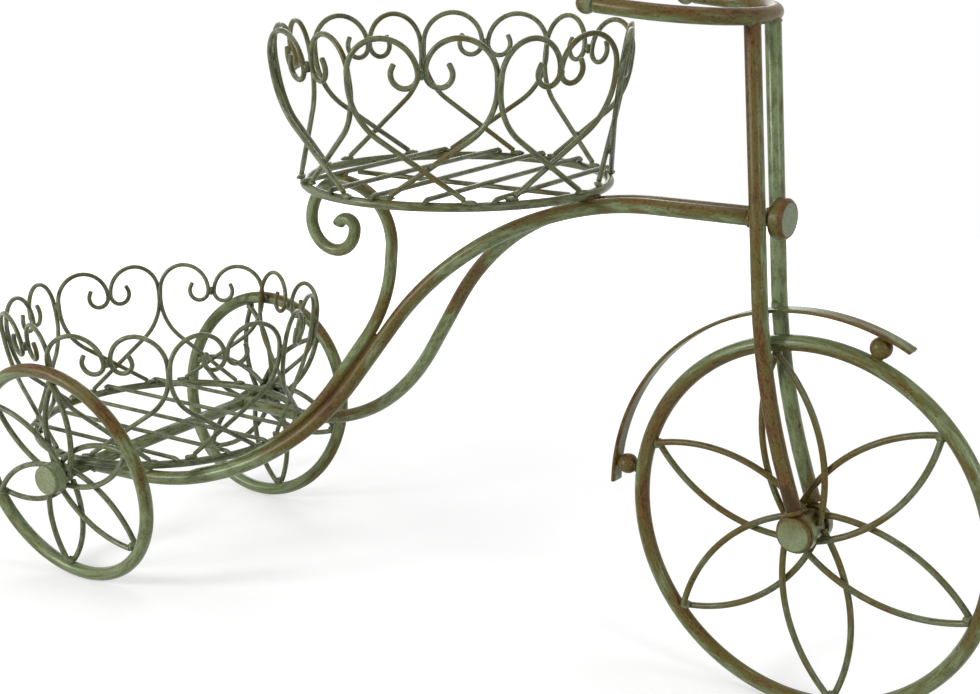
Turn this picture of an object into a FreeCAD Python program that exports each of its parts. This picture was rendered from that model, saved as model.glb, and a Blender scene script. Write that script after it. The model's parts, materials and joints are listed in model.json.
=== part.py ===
import FreeCAD, Part
import math
import os
import Sketcher

# Wrought-iron plant stand in the form of a small tricycle, in millimetres.
# X runs forward, Y to the left and Z up; the origin is on the floor under the middle.
# Two round baskets of bent wire hearts stand on a pair of curved frame tubes.
# The front unit (fork, handlebar, wheel, mudguard) is turned a little about the front hub's upright line.

doc = FreeCAD.newDocument("plant_stand")
sheet = doc.addObject("Spreadsheet::Sheet", "size")

SIZES = (
    # stock and fits
    ("tube_dia", 12.0),
    ("ring_rod_dia", 7.0),
    ("heart_wire_dia", 4.2),
    ("floor_wire_dia", 4.0),
    ("petal_wire_dia", 5.0),
    ("scroll_rod_dia", 10.0),
    ("seat_gap", 0.3),
    ("thread_gap", 0.05),
    # wheels
    ("wheel_base", 635.0),
    ("front_rim_radius", 140.0),
    ("rear_rim_radius", 99.5),
    ("wheel_clearance", 16.4),
    ("front_petal_half_width", 25.0),
    ("front_petal_waist", 57.0),
    ("rear_petal_half_width", 17.4),
    ("rear_petal_waist", 39.8),
    ("right_petal_phase", 22.5),
    ("left_petal_phase", 46.0),
    ("front_petal_phase", 43.0),
    # hubs and their caps
    ("front_hub_dia", 25.0),
    ("front_cap_dia", 30.0),
    ("front_cap_face_dia", 27.0),
    ("front_cap_length", 11.0),
    ("rear_hub_dia", 18.0),
    ("rear_hub_length", 10.6),
    ("spindle_dia", 8.0),
    ("rear_cap_dia", 28.5),
    ("rear_cap_face_dia", 26.0),
    ("rear_cap_length", 12.5),
    ("cap_lip", 3.0),
    ("cap_wall", 2.0),
    # frame tubes
    ("head_height", 374.0),
    ("arch_setback", 129.25),
    ("arch_radius", 250.0),
    ("frame_slope_angle", 55.8),
    ("splay_angle", 16.4),
    ("splay_setback", 192.25),
    ("frame_knee_inset", 38.0),
    ("frame_tail_inset", 33.0),
    # front unit
    ("fork_turn_angle", -4.9),
    ("fork_half_gap", 15.5),
    ("fork_upper_angle", 4.7),
    ("fork_lower_angle", 19.6),
    ("fork_lower_run", 93.0),
    ("fork_bend_radius", 550.0),
    ("fork_foot_shift", 3.8),
    ("bar_height", 514.6),
    ("bar_half_width", 69.0),
    ("bar_bend_radius", 66.0),
    ("bar_reach", 101.5),
    ("bar_tilt_angle", 4.6),
    ("grip_ball_dia", 15.5),
    ("mudguard_width", 13.0),
    ("mudguard_thickness", 3.0),
    ("mudguard_front_angle", 64.0),
    ("mudguard_rear_angle", 180.0),
    ("guard_ball_dia", 16.2),
    ("front_ball_angle", 71.5),
    ("rear_ball_angle", 174.0),
    ("stud_dia", 7.5),
    ("knob_dia", 30.0),
    ("knob_face_dia", 26.0),
    ("knob_length", 11.0),
    ("knob_lip", 2.5),
    ("knob_bore_depth", 8.0),
    # baskets
    ("ring_radius", 121.6),
    ("upper_ring_setback", 54.4),
    ("lower_ring_behind", 1.6),
    ("heart_setback", 3.4),
    ("heart_flare_angle", 8.8),
    ("heart_rise", 85.0),
    ("heart_tail_angle", 35.5),
    ("heart_side_run", 6.5),
    ("heart_side_gap", 0.75),
    ("curl_radius", 9.8),
    ("curl_angle", 205.0),
    ("curl_tip_run", 4.5),
    ("upper_floor_angle_1", -38.8),
    ("upper_floor_angle_2", -16.6),
    ("upper_floor_angle_3", 3.2),
    ("upper_floor_angle_4", 23.4),
    ("upper_floor_angle_5", 47.6),
    ("lower_floor_angle_1", -44.9),
    ("lower_floor_angle_2", -22.7),
    ("lower_floor_angle_3", -3.0),
    ("lower_floor_angle_4", 17.1),
    ("lower_floor_angle_5", 40.9),
    ("floor_hook_angle", 60.0),
    ("cross_wire_y", -22.0),
    ("cross_wire_overhang", 6.0),
    # scroll bracket
    ("scroll_leave_share", 0.22),
    ("scroll_top_radius", 46.0),
    ("scroll_back_radius", 33.5),
    ("scroll_under_radius", 23.7),
    ("scroll_inner_radius", 19.5),
    ("scroll_eye_radius", 7.4),
    ("scroll_tip_radius", 9.6),
    ("scroll_tip_angle", 67.0),
    ("scroll_lean_angle", 5.0),
    ("scroll_bend_radius", 130.0),
    ("scroll_foot_share", 0.7),
)
HEARTS = 8
PETALS = 6
FLOOR_WIRES = 5
WIRE_SIDES = 8
ARCH_CORNERS = 3

for row, (alias, number) in enumerate(SIZES, start=1):
    sheet.set("A%d" % row, alias)
    sheet.set("B%d" % row, repr(number))
    sheet.setAlias("B%d" % row, alias)
doc.recompute()

nodes = {}
X_AXIS = FreeCAD.Vector(1, 0, 0)
Y_AXIS = FreeCAD.Vector(0, 1, 0)
Z_AXIS = FreeCAD.Vector(0, 0, 1)
V = FreeCAD.Vector


def size(alias):
    """Value of one named size in the sheet."""
    return float(sheet.get(alias))


def angle(alias):
    """A named angle, in radians."""
    return math.radians(size(alias))


def place(x=0.0, y=0.0, z=0.0, axis=Z_AXIS, degrees=0.0):
    return FreeCAD.Placement(V(x, y, z), FreeCAD.Rotation(axis, degrees))


def keep(obj, label, placement=None):
    """Make an object a sub-part: its Label names its file."""
    obj.Label = label
    if placement is not None:
        obj.Placement = placement
    nodes[label] = obj
    return obj


def bent(points, radii):
    """Edges of a path through points, with a tangent arc of the given radius at each corner."""
    edges = []
    here = points[0]
    for before, corner, after, radius in zip(points, points[1:], points[2:], radii):
        back = (before - corner).normalize()
        ahead = (after - corner).normalize()
        half = 0.5 * back.getAngle(ahead)
        reach = radius / math.tan(half)
        bisector = (back + ahead).normalize()
        first = corner + back * reach
        last = corner + ahead * reach
        middle = corner + bisector * (radius / math.sin(half) - radius)
        if (first - here).Length > Part.Precision.confusion():
            edges.append(Part.LineSegment(here, first).toShape())
        edges.append(Part.Arc(first, middle, last).toShape())
        here = last
    if (points[-1] - here).Length > Part.Precision.confusion():
        edges.append(Part.LineSegment(here, points[-1]).toShape())
    return edges


def drawn(start, heading, steps, to_space):
    """Edges of a flat path: each step is (run,) or (radius, turn), turns positive to the left."""
    edges = []
    u, w = start
    course = math.radians(heading)
    for step in steps:
        if len(step) == 1:
            u_next = u + step[0] * math.cos(course)
            w_next = w + step[0] * math.sin(course)
            edges.append(Part.LineSegment(to_space(u, w), to_space(u_next, w_next)).toShape())
        else:
            radius, turn = step
            hand = math.copysign(radius, turn)
            sweep = math.radians(turn)
            u_mid = u + hand * (math.sin(course + sweep / 2) - math.sin(course))
            w_mid = w - hand * (math.cos(course + sweep / 2) - math.cos(course))
            u_next = u + hand * (math.sin(course + sweep) - math.sin(course))
            w_next = w - hand * (math.cos(course + sweep) - math.cos(course))
            arc = Part.Arc(to_space(u, w), to_space(u_mid, w_mid), to_space(u_next, w_next))
            edges.append(arc.toShape())
            course += sweep
        u, w = u_next, w_next
    return edges


def swept(name, edges, stock, sides=0):
    """A rod of the named stock along a path: round, or with flats for the many fine wires."""
    spine = doc.addObject("Part::Feature", name + "_path")
    spine.Shape = Part.Wire(edges)
    first = edges[0]
    if sides:
        section = doc.addObject("Part::RegularPolygon", name + "_section")
        section.Polygon = sides
        section.setExpression("Circumradius", "size.%s / 2" % stock)
    else:
        section = doc.addObject("Part::Circle", name + "_section")
        section.setExpression("Radius", "size.%s / 2" % stock)
    tangent = first.tangentAt(first.FirstParameter)
    section.Placement = FreeCAD.Placement(
        first.valueAt(first.FirstParameter), FreeCAD.Rotation(Z_AXIS, tangent)
    )
    rod = doc.addObject("Part::Sweep", name)
    rod.Sections = [section]
    rod.Spine = (spine, [])
    rod.Solid = True
    rod.Frenet = False
    return rod


def gathered(name, links):
    group = doc.addObject("Part::Compound", name)
    group.Links = links
    return group


def torus(label, radius, stock, placement):
    ring = doc.addObject("Part::Torus", label)
    ring.setExpression("Radius1", "size.%s" % radius)
    ring.setExpression("Radius2", "size.%s / 2" % stock)
    return keep(ring, label, placement)


def turned(name, outline):
    """A body turned about its Y axis; each outline point is two (expression, value) pairs."""
    body = doc.addObject("PartDesign::Body", name)
    sketch = body.newObject("Sketcher::SketchObject", name + "_profile")
    plane = [f for f in body.Origin.OriginFeatures if f.Role == "XY_Plane"][0]
    sketch.AttachmentSupport = [(plane, "")]
    sketch.MapMode = "FlatFace"
    count = len(outline)
    spots = [V(across[1], along[1], 0) for across, along in outline]
    for i in range(count):
        sketch.addGeometry(Part.LineSegment(spots[i], spots[(i + 1) % count]), False)
    for i in range(count):
        sketch.addConstraint(Sketcher.Constraint("Coincident", i, 2, (i + 1) % count, 1))
    for i, (across, along) in enumerate(outline):
        for kind, axis, (expression, value) in (
            ("DistanceX", -2, across),
            ("DistanceY", -1, along),
        ):
            if value == 0:
                sketch.addConstraint(Sketcher.Constraint("PointOnObject", i, 1, axis))
            else:
                number = sketch.addConstraint(Sketcher.Constraint(kind, -1, 1, i, 1, value))
                sketch.setExpression("Constraints[%d]" % number, expression)
    turn = body.newObject("PartDesign::Revolution", name + "_turned")
    turn.Profile = sketch
    turn.ReferenceAxis = (sketch, ["V_Axis"])
    turn.Angle = 360
    sketch.Visibility = False
    return body


def named(alias, factor=1):
    """An (expression, value) pair for one named size, or a part of it."""
    return ("size.%s * %r" % (alias, factor), size(alias) * factor)


def less(first, second):
    """An (expression, value) pair for the difference of two pairs."""
    return ("(%s) - (%s)" % (first[0], second[0]), first[1] - second[1])


NIL = ("0", 0.0)


def cap_outline(kind):
    """Cup with a stepped face: open towards Y = 0, its face at the cap's length."""
    rim = named(kind + "_cap_dia", 0.5)
    face = named(kind + "_cap_face_dia", 0.5)
    length = named(kind + "_cap_length")
    bore = less(rim, named("cap_wall"))
    shoulder = less(length, named("cap_lip"))
    floor = less(length, named("cap_wall"))
    well = less(face, named("cap_wall"))
    step = less(shoulder, named("cap_wall"))
    return (
        (bore, NIL),
        (rim, NIL),
        (rim, shoulder),
        (face, shoulder),
        (face, length),
        (NIL, length),
        (NIL, floor),
        (well, floor),
        (well, step),
        (bore, step),
    )


tube = size("tube_dia") / 2
rod = size("ring_rod_dia") / 2
heart_wire = size("heart_wire_dia") / 2
floor_wire = size("floor_wire_dia") / 2
petal_wire = size("petal_wire_dia") / 2
scroll_rod = size("scroll_rod_dia") / 2
gap = size("seat_gap")

# Hearts: eight flat flaring panels round each basket, each of two mirrored wires.
half_sector = math.pi / HEARTS
flare = angle("heart_flare_angle")
slope = angle("heart_tail_angle")
ring_radius = size("ring_radius")
apothem = ring_radius - size("heart_setback")
rise = size("heart_rise")
tail_foot = math.sqrt(ring_radius ** 2 - apothem ** 2)
side = (apothem + rise * math.sin(flare)) * math.tan(half_sector) - size("heart_side_gap")
layer = heart_wire + gap / 2
span = tail_foot + side
tail_run = span * math.cos(slope) / (1 - math.sin(slope)) - rise
side_radius = (rise * math.cos(slope) - span * math.sin(slope)) / (1 - math.sin(slope))
lobe_radius = (side - layer) / 2
heart_seat = rod + gap + heart_wire * math.cos(slope)


def heart_point(hand):
    """Map from the heart's flat panel to space; the two wires lie on either face of the panel."""
    def to_space(u, w):
        out = apothem + w * math.sin(flare) + hand * layer * math.cos(flare)
        up = w * math.cos(flare) - hand * layer * math.sin(flare)
        return V(out, hand * u, up)
    return to_space


heart_steps = (
    (tail_run,),
    (side_radius, size("heart_tail_angle") - 90),
    (size("heart_side_run"),),
    (lobe_radius, -180),
    (size("curl_radius"), -size("curl_angle")),
    (size("curl_tip_run"),),
)
heart_wires = []
for wire_name, hand in (("heart_outer_wire", 1), ("heart_inner_wire", -1)):
    lines = drawn((tail_foot, 0), 180 - size("heart_tail_angle"), heart_steps, heart_point(hand))
    heart_wires.append(swept(wire_name, lines, "heart_wire_dia", WIRE_SIDES))

# Rear wheels lean outward at the top, where the rims meet the sides of the lower hearts.
side_reach = math.hypot(apothem + rise * math.sin(flare) + layer, side)
half_track = ring_radius + size("wheel_clearance")
rear_radius = size("rear_rim_radius")
lean = math.asin((side_reach + heart_wire + tube + gap - half_track) / rear_radius)
rear_z = rear_radius * math.cos(lean) + tube

# Places along the stand: its front rim and the rear of the lower basket are equally far out.
front_radius = size("front_rim_radius")
front_z = front_radius + tube
turn = angle("fork_turn_angle")
front_reach = front_radius * math.cos(turn) + tube
doc.recompute()
basket_reach = 0.0
for wire in heart_wires:
    for k in (HEARTS / 2, HEARTS / 2 + 1):
        panel = wire.Shape.copy()
        panel.rotate(V(0, 0, 0), Z_AXIS, math.degrees(half_sector) * (2 * k - 1))
        basket_reach = max(basket_reach, -panel.optimalBoundingBox(False).XMin)
rear_reach = size("lower_ring_behind") + basket_reach
front_x = (size("wheel_base") + rear_reach - front_reach) / 2
rear_x = front_x - size("wheel_base")
unit = place(x=front_x, degrees=size("fork_turn_angle"))

# Frame tubes: an arch from the head, a slope and a lower sweep to the axle, splaying in plan.
arch = size("arch_radius")
fall = angle("frame_slope_angle")
head_z = size("head_height")
arch_x = front_x - size("arch_setback")
splay_x = front_x - size("splay_setback")
drop = head_z - rear_z
slope_run = (drop - 2 * arch * (1 - math.cos(fall))) / math.sin(fall)
sweep_x = arch_x - 2 * arch * math.sin(fall) - slope_run * math.cos(fall)
corner_turn = fall / ARCH_CORNERS
corner_arm = arch / math.cos(corner_turn / 2)
twin_half = tube + gap / 2
fork_head = size("fork_half_gap")
upper_rake = angle("fork_upper_angle")
lower_rake = angle("fork_lower_angle")

# Fork legs in the front unit's own frame, measured from the hub.
leg_up = V(-math.sin(lower_rake), 0, math.cos(lower_rake))
leg_across = V(math.cos(lower_rake), 0, math.sin(lower_rake))
foot = V(0, 0, front_z) + leg_up * (size("front_cap_dia") / 2 + gap)
foot = foot + leg_across * size("fork_foot_shift")
knee = foot + leg_up * size("fork_lower_run")
bar_z = size("bar_height")
leg_top = knee + V(-math.tan(upper_rake), 0, 1) * (bar_z - tube - gap - knee.z)


def leg_x(height):
    """Where a fork leg's centre line is at a height on its straight upper run."""
    return knee.x - (height - knee.z) * math.tan(upper_rake)


leg_back = leg_x(head_z + tube) - tube / math.cos(upper_rake) - gap
tube_end = front_x + leg_back * math.cos(turn) - fork_head * abs(math.sin(turn))


def frame_points(hand):
    splay = math.tan(angle("splay_angle"))
    points = [V(tube_end, hand * twin_half, head_z)]
    for k in range(ARCH_CORNERS):
        lean_here = corner_turn * (k + 0.5)
        x = arch_x - corner_arm * math.sin(lean_here)
        y = twin_half + max(0.0, splay_x - x) * splay
        points.append(V(x, hand * y, head_z - arch + corner_arm * math.cos(lean_here)))
    for k in reversed(range(ARCH_CORNERS)):
        lean_here = corner_turn * (k + 0.5)
        x = sweep_x + corner_arm * math.sin(lean_here)
        y = twin_half + (splay_x - x) * splay
        if k == 0:
            y = half_track - size("frame_knee_inset")
        points.append(V(x, hand * y, rear_z + arch - corner_arm * math.cos(lean_here)))
    tail_y = half_track - size("frame_tail_inset")
    points.append(V(rear_x + tube + 2 * gap, hand * tail_y, rear_z))
    return points


def bend_radii(points):
    """The arch radius, or a little less where the splay turns a corner harder than the arch."""
    reach = arch * math.tan(corner_turn / 2)
    radii = []
    for before, corner, after in zip(points, points[1:], points[2:]):
        half = 0.5 * (before - corner).getAngle(after - corner)
        radii.append(min(arch, reach * math.tan(half)))
    return radii


for label, hand in (("frame_tube_right", -1), ("frame_tube_left", 1)):
    points = frame_points(hand)
    keep(swept(label, bent(points, bend_radii(points)), "tube_dia"), label)

# Rear axle: a tube between the wheels with thinner spindles out to the caps.
hub_half = size("rear_hub_length") / 2
cap_reach = size("rear_cap_dia") / 2
cap_back = half_track + hub_half * math.cos(lean) + cap_reach * math.sin(lean) + gap
hub_reach = size("rear_hub_dia") / 2
shoulder = half_track - hub_half * math.cos(lean) - hub_reach * math.sin(lean) - gap
spindle_end = cap_back + size("rear_cap_length") - size("cap_wall") - gap
along_y = FreeCAD.Rotation(X_AXIS, -90)
spindle = doc.addObject("Part::Cylinder", "spindle")
spindle.setExpression("Radius", "size.spindle_dia / 2")
spindle.Height = 2 * spindle_end
spindle.Placement = FreeCAD.Placement(V(rear_x, -spindle_end, rear_z), along_y)
axle_tube = doc.addObject("Part::Cylinder", "axle_tube")
axle_tube.setExpression("Radius", "size.tube_dia / 2")
axle_tube.Height = 2 * shoulder
axle_tube.Placement = FreeCAD.Placement(V(rear_x, -shoulder, rear_z), along_y)
axle = doc.addObject("Part::Fuse", "rear_axle")
axle.Base = axle_tube
axle.Tool = spindle
keep(axle, "rear_axle")


def petal_ring(name, rim, half_width, waist, hub_dia):
    """Six petals of two mirrored arcs each, trimmed to the rim's inside and the hub's barrel.

    The two hands of arcs lie in two layers, so that neighbouring petals cross without touching.
    """
    tip = size(rim) - tube
    across = size(half_width)
    widest = size(waist)
    radius = ((tip - widest) ** 2 + across ** 2) / (2 * across)
    offset = petal_wire + gap / 2
    outer = math.degrees(math.acos((tip - widest) / radius))
    inner = 90 + math.degrees(math.asin(widest / radius))
    wires = []
    for k in range(PETALS):
        phase = 2 * math.pi * k / PETALS
        for hand in (1, -1):
            def to_space(u, w):
                return V(
                    u * math.cos(phase) - hand * w * math.sin(phase),
                    hand * offset,
                    u * math.sin(phase) + hand * w * math.cos(phase),
                )
            start = (
                widest + radius * math.cos(math.radians(outer)),
                across - radius + radius * math.sin(math.radians(outer)),
            )
            lines = drawn(start, outer + 90, ((radius, inner - outer),), to_space)
            wires.append(swept("%s_wire_%d_%d" % (name, k, hand), lines, "petal_wire_dia", WIRE_SIDES))
    bundle = gathered(name + "_wires", wires)
    disc = doc.addObject("Part::Cylinder", name + "_disc")
    disc.setExpression("Radius", "size.%s - size.tube_dia / 2 - size.seat_gap" % rim)
    disc.setExpression("Height", "4 * size.petal_wire_dia")
    barrel = doc.addObject("Part::Cylinder", name + "_barrel")
    barrel.setExpression("Radius", "size.%s / 2 + size.seat_gap" % hub_dia)
    barrel.setExpression("Height", "4 * size.petal_wire_dia")
    for blank in (disc, barrel):
        blank.Placement = FreeCAD.Placement(V(0, -4 * petal_wire, 0), along_y)
    band = doc.addObject("Part::Cut", name + "_band")
    band.Base = disc
    band.Tool = barrel
    petals = doc.addObject("Part::Common", name)
    petals.Base = bundle
    petals.Tool = band
    return petals


# Rear wheels: rim, petals and a short hub barrel that hangs on the spindle.
rear_petals = petal_ring(
    "rear_petal_ring", "rear_rim_radius", "rear_petal_half_width", "rear_petal_waist", "rear_hub_dia"
)
hub_bore = (size("spindle_dia") / 2 + hub_half * math.sin(lean)) / math.cos(lean) + gap
for side_name, hand in (("right", -1), ("left", 1)):
    wheel = place(rear_x, hand * half_track, rear_z, X_AXIS, -hand * math.degrees(lean))
    torus("rear_rim_" + side_name, "rear_rim_radius", "tube_dia", wheel * place(axis=X_AXIS, degrees=90))
    phase = place(axis=Y_AXIS, degrees=-size(side_name + "_petal_phase"))
    keep(gathered("rear_petals_" + side_name, [rear_petals]), "rear_petals_" + side_name, wheel * phase)
    barrel = doc.addObject("Part::Cylinder", "rear_barrel_" + side_name)
    barrel.setExpression("Radius", "size.rear_hub_dia / 2")
    barrel.setExpression("Height", "size.rear_hub_length")
    bore = doc.addObject("Part::Cylinder", "rear_bore_" + side_name)
    bore.Radius = hub_bore
    bore.setExpression("Height", "size.rear_hub_length * 2")
    bore.setExpression("Placement.Base.z", "size.rear_hub_length * -0.5")
    hub = doc.addObject("Part::Cut", "rear_hub_" + side_name)
    hub.Base = barrel
    hub.Tool = bore
    keep(hub, "rear_hub_" + side_name, wheel * FreeCAD.Placement(V(0, -hub_half, 0), along_y))
    flip = 0 if hand > 0 else 180
    cap = turned("rear_hub_cap_" + side_name, cap_outline("rear"))
    keep(cap, "rear_hub_cap_" + side_name, place(rear_x, hand * cap_back, rear_z, Z_AXIS, flip))

# Front wheel, held between two caps under the fork legs.
hub_place = unit * place(z=front_z)
torus("front_rim", "front_rim_radius", "tube_dia", hub_place * place(axis=X_AXIS, degrees=90))
front_petals = petal_ring(
    "front_petal_ring", "front_rim_radius", "front_petal_half_width", "front_petal_waist", "front_hub_dia"
)
front_phase = place(axis=Y_AXIS, degrees=-size("front_petal_phase"))
keep(gathered("front_petals", [front_petals]), "front_petals", hub_place * front_phase)
cap_inner = fork_head - tube
front_hub = doc.addObject("Part::Cylinder", "front_hub")
front_hub.setExpression("Radius", "size.front_hub_dia / 2")
front_hub.setExpression("Height", "size.fork_half_gap * 2 - size.tube_dia - size.seat_gap * 2")
keep(front_hub, "front_hub", hub_place * FreeCAD.Placement(V(0, gap - cap_inner, 0), along_y))
for side_name, hand in (("right", -1), ("left", 1)):
    flip = 0 if hand > 0 else 180
    cap = turned("front_hub_cap_" + side_name, cap_outline("front"))
    keep(cap, "front_hub_cap_" + side_name, hub_place * place(y=hand * cap_inner, degrees=flip))

# Fork legs: a raked upper run that bends gently forward to the hub.
for side_name, hand in (("right", -1), ("left", 1)):
    aside = V(0, hand * fork_head, 0)
    points = [leg_top + aside, knee + aside, foot + aside]
    label = "fork_leg_" + side_name
    keep(swept(label, bent(points, [size("fork_bend_radius")]), "tube_dia"), label, unit)

# Handlebar: a level U, tilted up a little towards the grips, with a ball on each end.
bar_bend = size("bar_bend_radius")
bar_half = size("bar_half_width")
tilt = angle("bar_tilt_angle")
ball = size("grip_ball_dia") / 2
ball_seat = math.sqrt(ball ** 2 - tube ** 2)


def bar_point(u, w):
    """Map from the handlebar's flat, u forward of its front run, to the front unit's frame."""
    return V(leg_top.x + u * math.cos(tilt), w, bar_z - u * math.sin(tilt))


bar_side = size("bar_reach") - bar_bend - ball_seat - gap
bar_steps = (
    (bar_side,),
    (bar_bend, 90),
    (2 * (bar_half - bar_bend),),
    (bar_bend, 90),
    (bar_side,),
)
bar_start = (-bar_bend - bar_side, -bar_half)
keep(swept("handlebar", drawn(bar_start, 0, bar_steps, bar_point), "tube_dia"), "handlebar", unit)
for side_name, hand in (("right", -1), ("left", 1)):
    grip = doc.addObject("Part::Sphere", "grip_ball_" + side_name)
    grip.setExpression("Radius", "size.grip_ball_dia / 2")
    grip.Angle2 = math.degrees(math.asin(ball_seat / ball))
    centre = bar_point(-size("bar_reach"), hand * bar_half)
    forward = FreeCAD.Rotation(Y_AXIS, 90 + size("bar_tilt_angle"))
    keep(grip, "grip_ball_" + side_name, unit * FreeCAD.Placement(centre, forward))

# Mudguard: a flat strip bent round the front wheel, held off the rim by two balls.
guard_inside = front_radius + tube + size("guard_ball_dia") + 2 * gap
guard_width = size("mudguard_width")
guard_out = doc.addObject("Part::Cylinder", "mudguard_outside")
guard_out.Radius = guard_inside + size("mudguard_thickness")
guard_in = doc.addObject("Part::Cylinder", "mudguard_inside")
guard_in.Radius = guard_inside
for blank in (guard_out, guard_in):
    blank.setExpression("Height", "size.mudguard_width")
    blank.setExpression("Angle", "size.mudguard_rear_angle - size.mudguard_front_angle")
guard = doc.addObject("Part::Cut", "mudguard")
guard.Base = guard_out
guard.Tool = guard_in
guard_turn = FreeCAD.Rotation(Y_AXIS, -size("mudguard_front_angle"))
guard_stand = FreeCAD.Placement(V(0, guard_width / 2, 0), guard_turn * FreeCAD.Rotation(X_AXIS, 90))
keep(guard, "mudguard", hub_place * guard_stand)
ball_radius = front_radius + tube + gap + size("guard_ball_dia") / 2
for end_name in ("front", "rear"):
    where = angle(end_name + "_ball_angle")
    bead = doc.addObject("Part::Sphere", "mudguard_ball_" + end_name)
    bead.setExpression("Radius", "size.guard_ball_dia / 2")
    spot = place(x=ball_radius * math.cos(where), z=ball_radius * math.sin(where))
    keep(bead, "mudguard_ball_" + end_name, hub_place * spot)

# Head: a stud from the ends of the frame tubes, and a knob that clamps the fork legs.
knob_half = size("knob_dia") / 2
leg_fronts = []
for degrees in range(90):
    aside = fork_head - knob_half * math.cos(math.radians(degrees))
    below = knob_half * math.sin(math.radians(degrees))
    if abs(aside) < tube:
        leg_fronts.append(leg_x(head_z - below) + math.sqrt(tube ** 2 - aside ** 2) / math.cos(upper_rake))
knob_back = max(leg_fronts) + gap
stud_start = (tube_end - front_x + gap + size("stud_dia") / 2 * abs(math.sin(turn))) / math.cos(turn)
stud = doc.addObject("Part::Cylinder", "head_stud")
stud.setExpression("Radius", "size.stud_dia / 2")
stud.Height = knob_back + size("knob_bore_depth") - gap - stud_start
along_x = FreeCAD.Rotation(Y_AXIS, 90)
keep(stud, "head_stud", unit * FreeCAD.Placement(V(stud_start, 0, head_z), along_x))
knob_rim = named("knob_dia", 0.5)
knob_face = named("knob_face_dia", 0.5)
knob_length = named("knob_length")
knob_shoulder = less(knob_length, named("knob_lip"))
knob_depth = named("knob_bore_depth")
knob_bore = less(named("stud_dia", 0.5), named("thread_gap", -1))
knob = turned(
    "head_knob",
    (
        (knob_bore, NIL),
        (knob_rim, NIL),
        (knob_rim, knob_shoulder),
        (knob_face, knob_length),
        (NIL, knob_length),
        (NIL, knob_depth),
        (knob_bore, knob_depth),
    ),
)
knob_turn = FreeCAD.Rotation(Z_AXIS, -90)
keep(knob, "head_knob", unit * FreeCAD.Placement(V(knob_back, 0, head_z), knob_turn))

# Baskets: a base ring, floor wires hooked over it and eight hearts standing on it.
ring_front = arch_x - size("upper_ring_setback")
upper_x = ring_front - ring_radius
lower_x = rear_x - size("lower_ring_behind")
over_arch = arch + tube + rod + gap
upper_z = head_z - arch + math.sqrt(over_arch ** 2 - (arch_x - ring_front) ** 2)
lower_z = rear_z + tube + rod + gap
floor_lift = rod + floor_wire + gap
cross_lift = floor_lift - 2 * floor_wire - gap


def floor_wires(basket, degrees, placement):
    """Parallel wires across the ring, clear of the hearts' feet, their ends bent down over its rod."""
    name = basket + "_floor_wires"
    wires = []
    for k in range(FLOOR_WIRES):
        bearing = angle("%s_floor_angle_%d" % (basket, k + 1))
        aside = ring_radius * math.sin(bearing)
        half = ring_radius * math.cos(bearing)
        hook = floor_lift / math.cos(bearing) ** 2
        drop = math.asin(math.sin(angle("floor_hook_angle")) * math.cos(bearing))

        def to_space(u, w):
            return V(u, aside, w)

        start = (
            -half - hook * math.sin(drop),
            floor_lift - hook + hook * math.cos(drop),
        )
        drop_turn = math.degrees(drop)
        steps = ((hook, -drop_turn), (2 * half,), (hook, -drop_turn))
        lines = drawn(start, drop_turn, steps, to_space)
        wires.append(swept("%s_%d" % (name, k), lines, "floor_wire_dia", WIRE_SIDES))
    return keep(gathered(name, wires), name, placement * place(degrees=degrees))


for basket, ring_x, ring_z in (("upper", upper_x, upper_z), ("lower", lower_x, lower_z)):
    seat = place(x=ring_x, z=ring_z)
    torus(basket + "_base_ring", "ring_radius", "ring_rod_dia", seat)
    for k in range(HEARTS):
        label = "%s_heart_%d" % (basket, k + 1)
        spot = seat * place(z=heart_seat, degrees=math.degrees(half_sector) * (2 * k + 1))
        keep(gathered(label, heart_wires), label, spot)
floor_wires("upper", -90, place(x=upper_x, z=upper_z))
floor_wires("lower", 0, place(x=lower_x, z=lower_z))

# One wire under the upper floor, from the last floor wire to the front of the ring.
first_floor_x = ring_radius * math.sin(angle("upper_floor_angle_1"))
cross_y = size("cross_wire_y")
cross_start = first_floor_x - size("cross_wire_overhang")
cross_end = math.sqrt((ring_radius - rod - gap) ** 2 - (abs(cross_y) + floor_wire) ** 2)
cross = doc.addObject("Part::Cylinder", "upper_cross_wire")
cross.setExpression("Radius", "size.floor_wire_dia / 2")
cross.Height = cross_end - cross_start
cross_spot = V(upper_x + cross_start, cross_y, upper_z + cross_lift)
keep(cross, "upper_cross_wire", FreeCAD.Placement(cross_spot, along_x))

# Scroll bracket: lies on the back of the right frame tube, leaves it and curls under the floor.
right = frame_points(-1)
scroll_route = right[ARCH_CORNERS:ARCH_CORNERS + 4]
runs = [(b - a).normalize() for a, b in zip(scroll_route, scroll_route[1:])]
backs = [(Z_AXIS - run * run.z).normalize() for run in runs]
off_tube = tube + scroll_rod + 2 * gap


def over_corner(k):
    """Where the rod's centre line turns as it follows the tube round one of the route's corners."""
    return scroll_route[k] + (backs[k - 1] + backs[k]) * (off_tube / (1 + backs[k - 1].dot(backs[k])))


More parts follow.
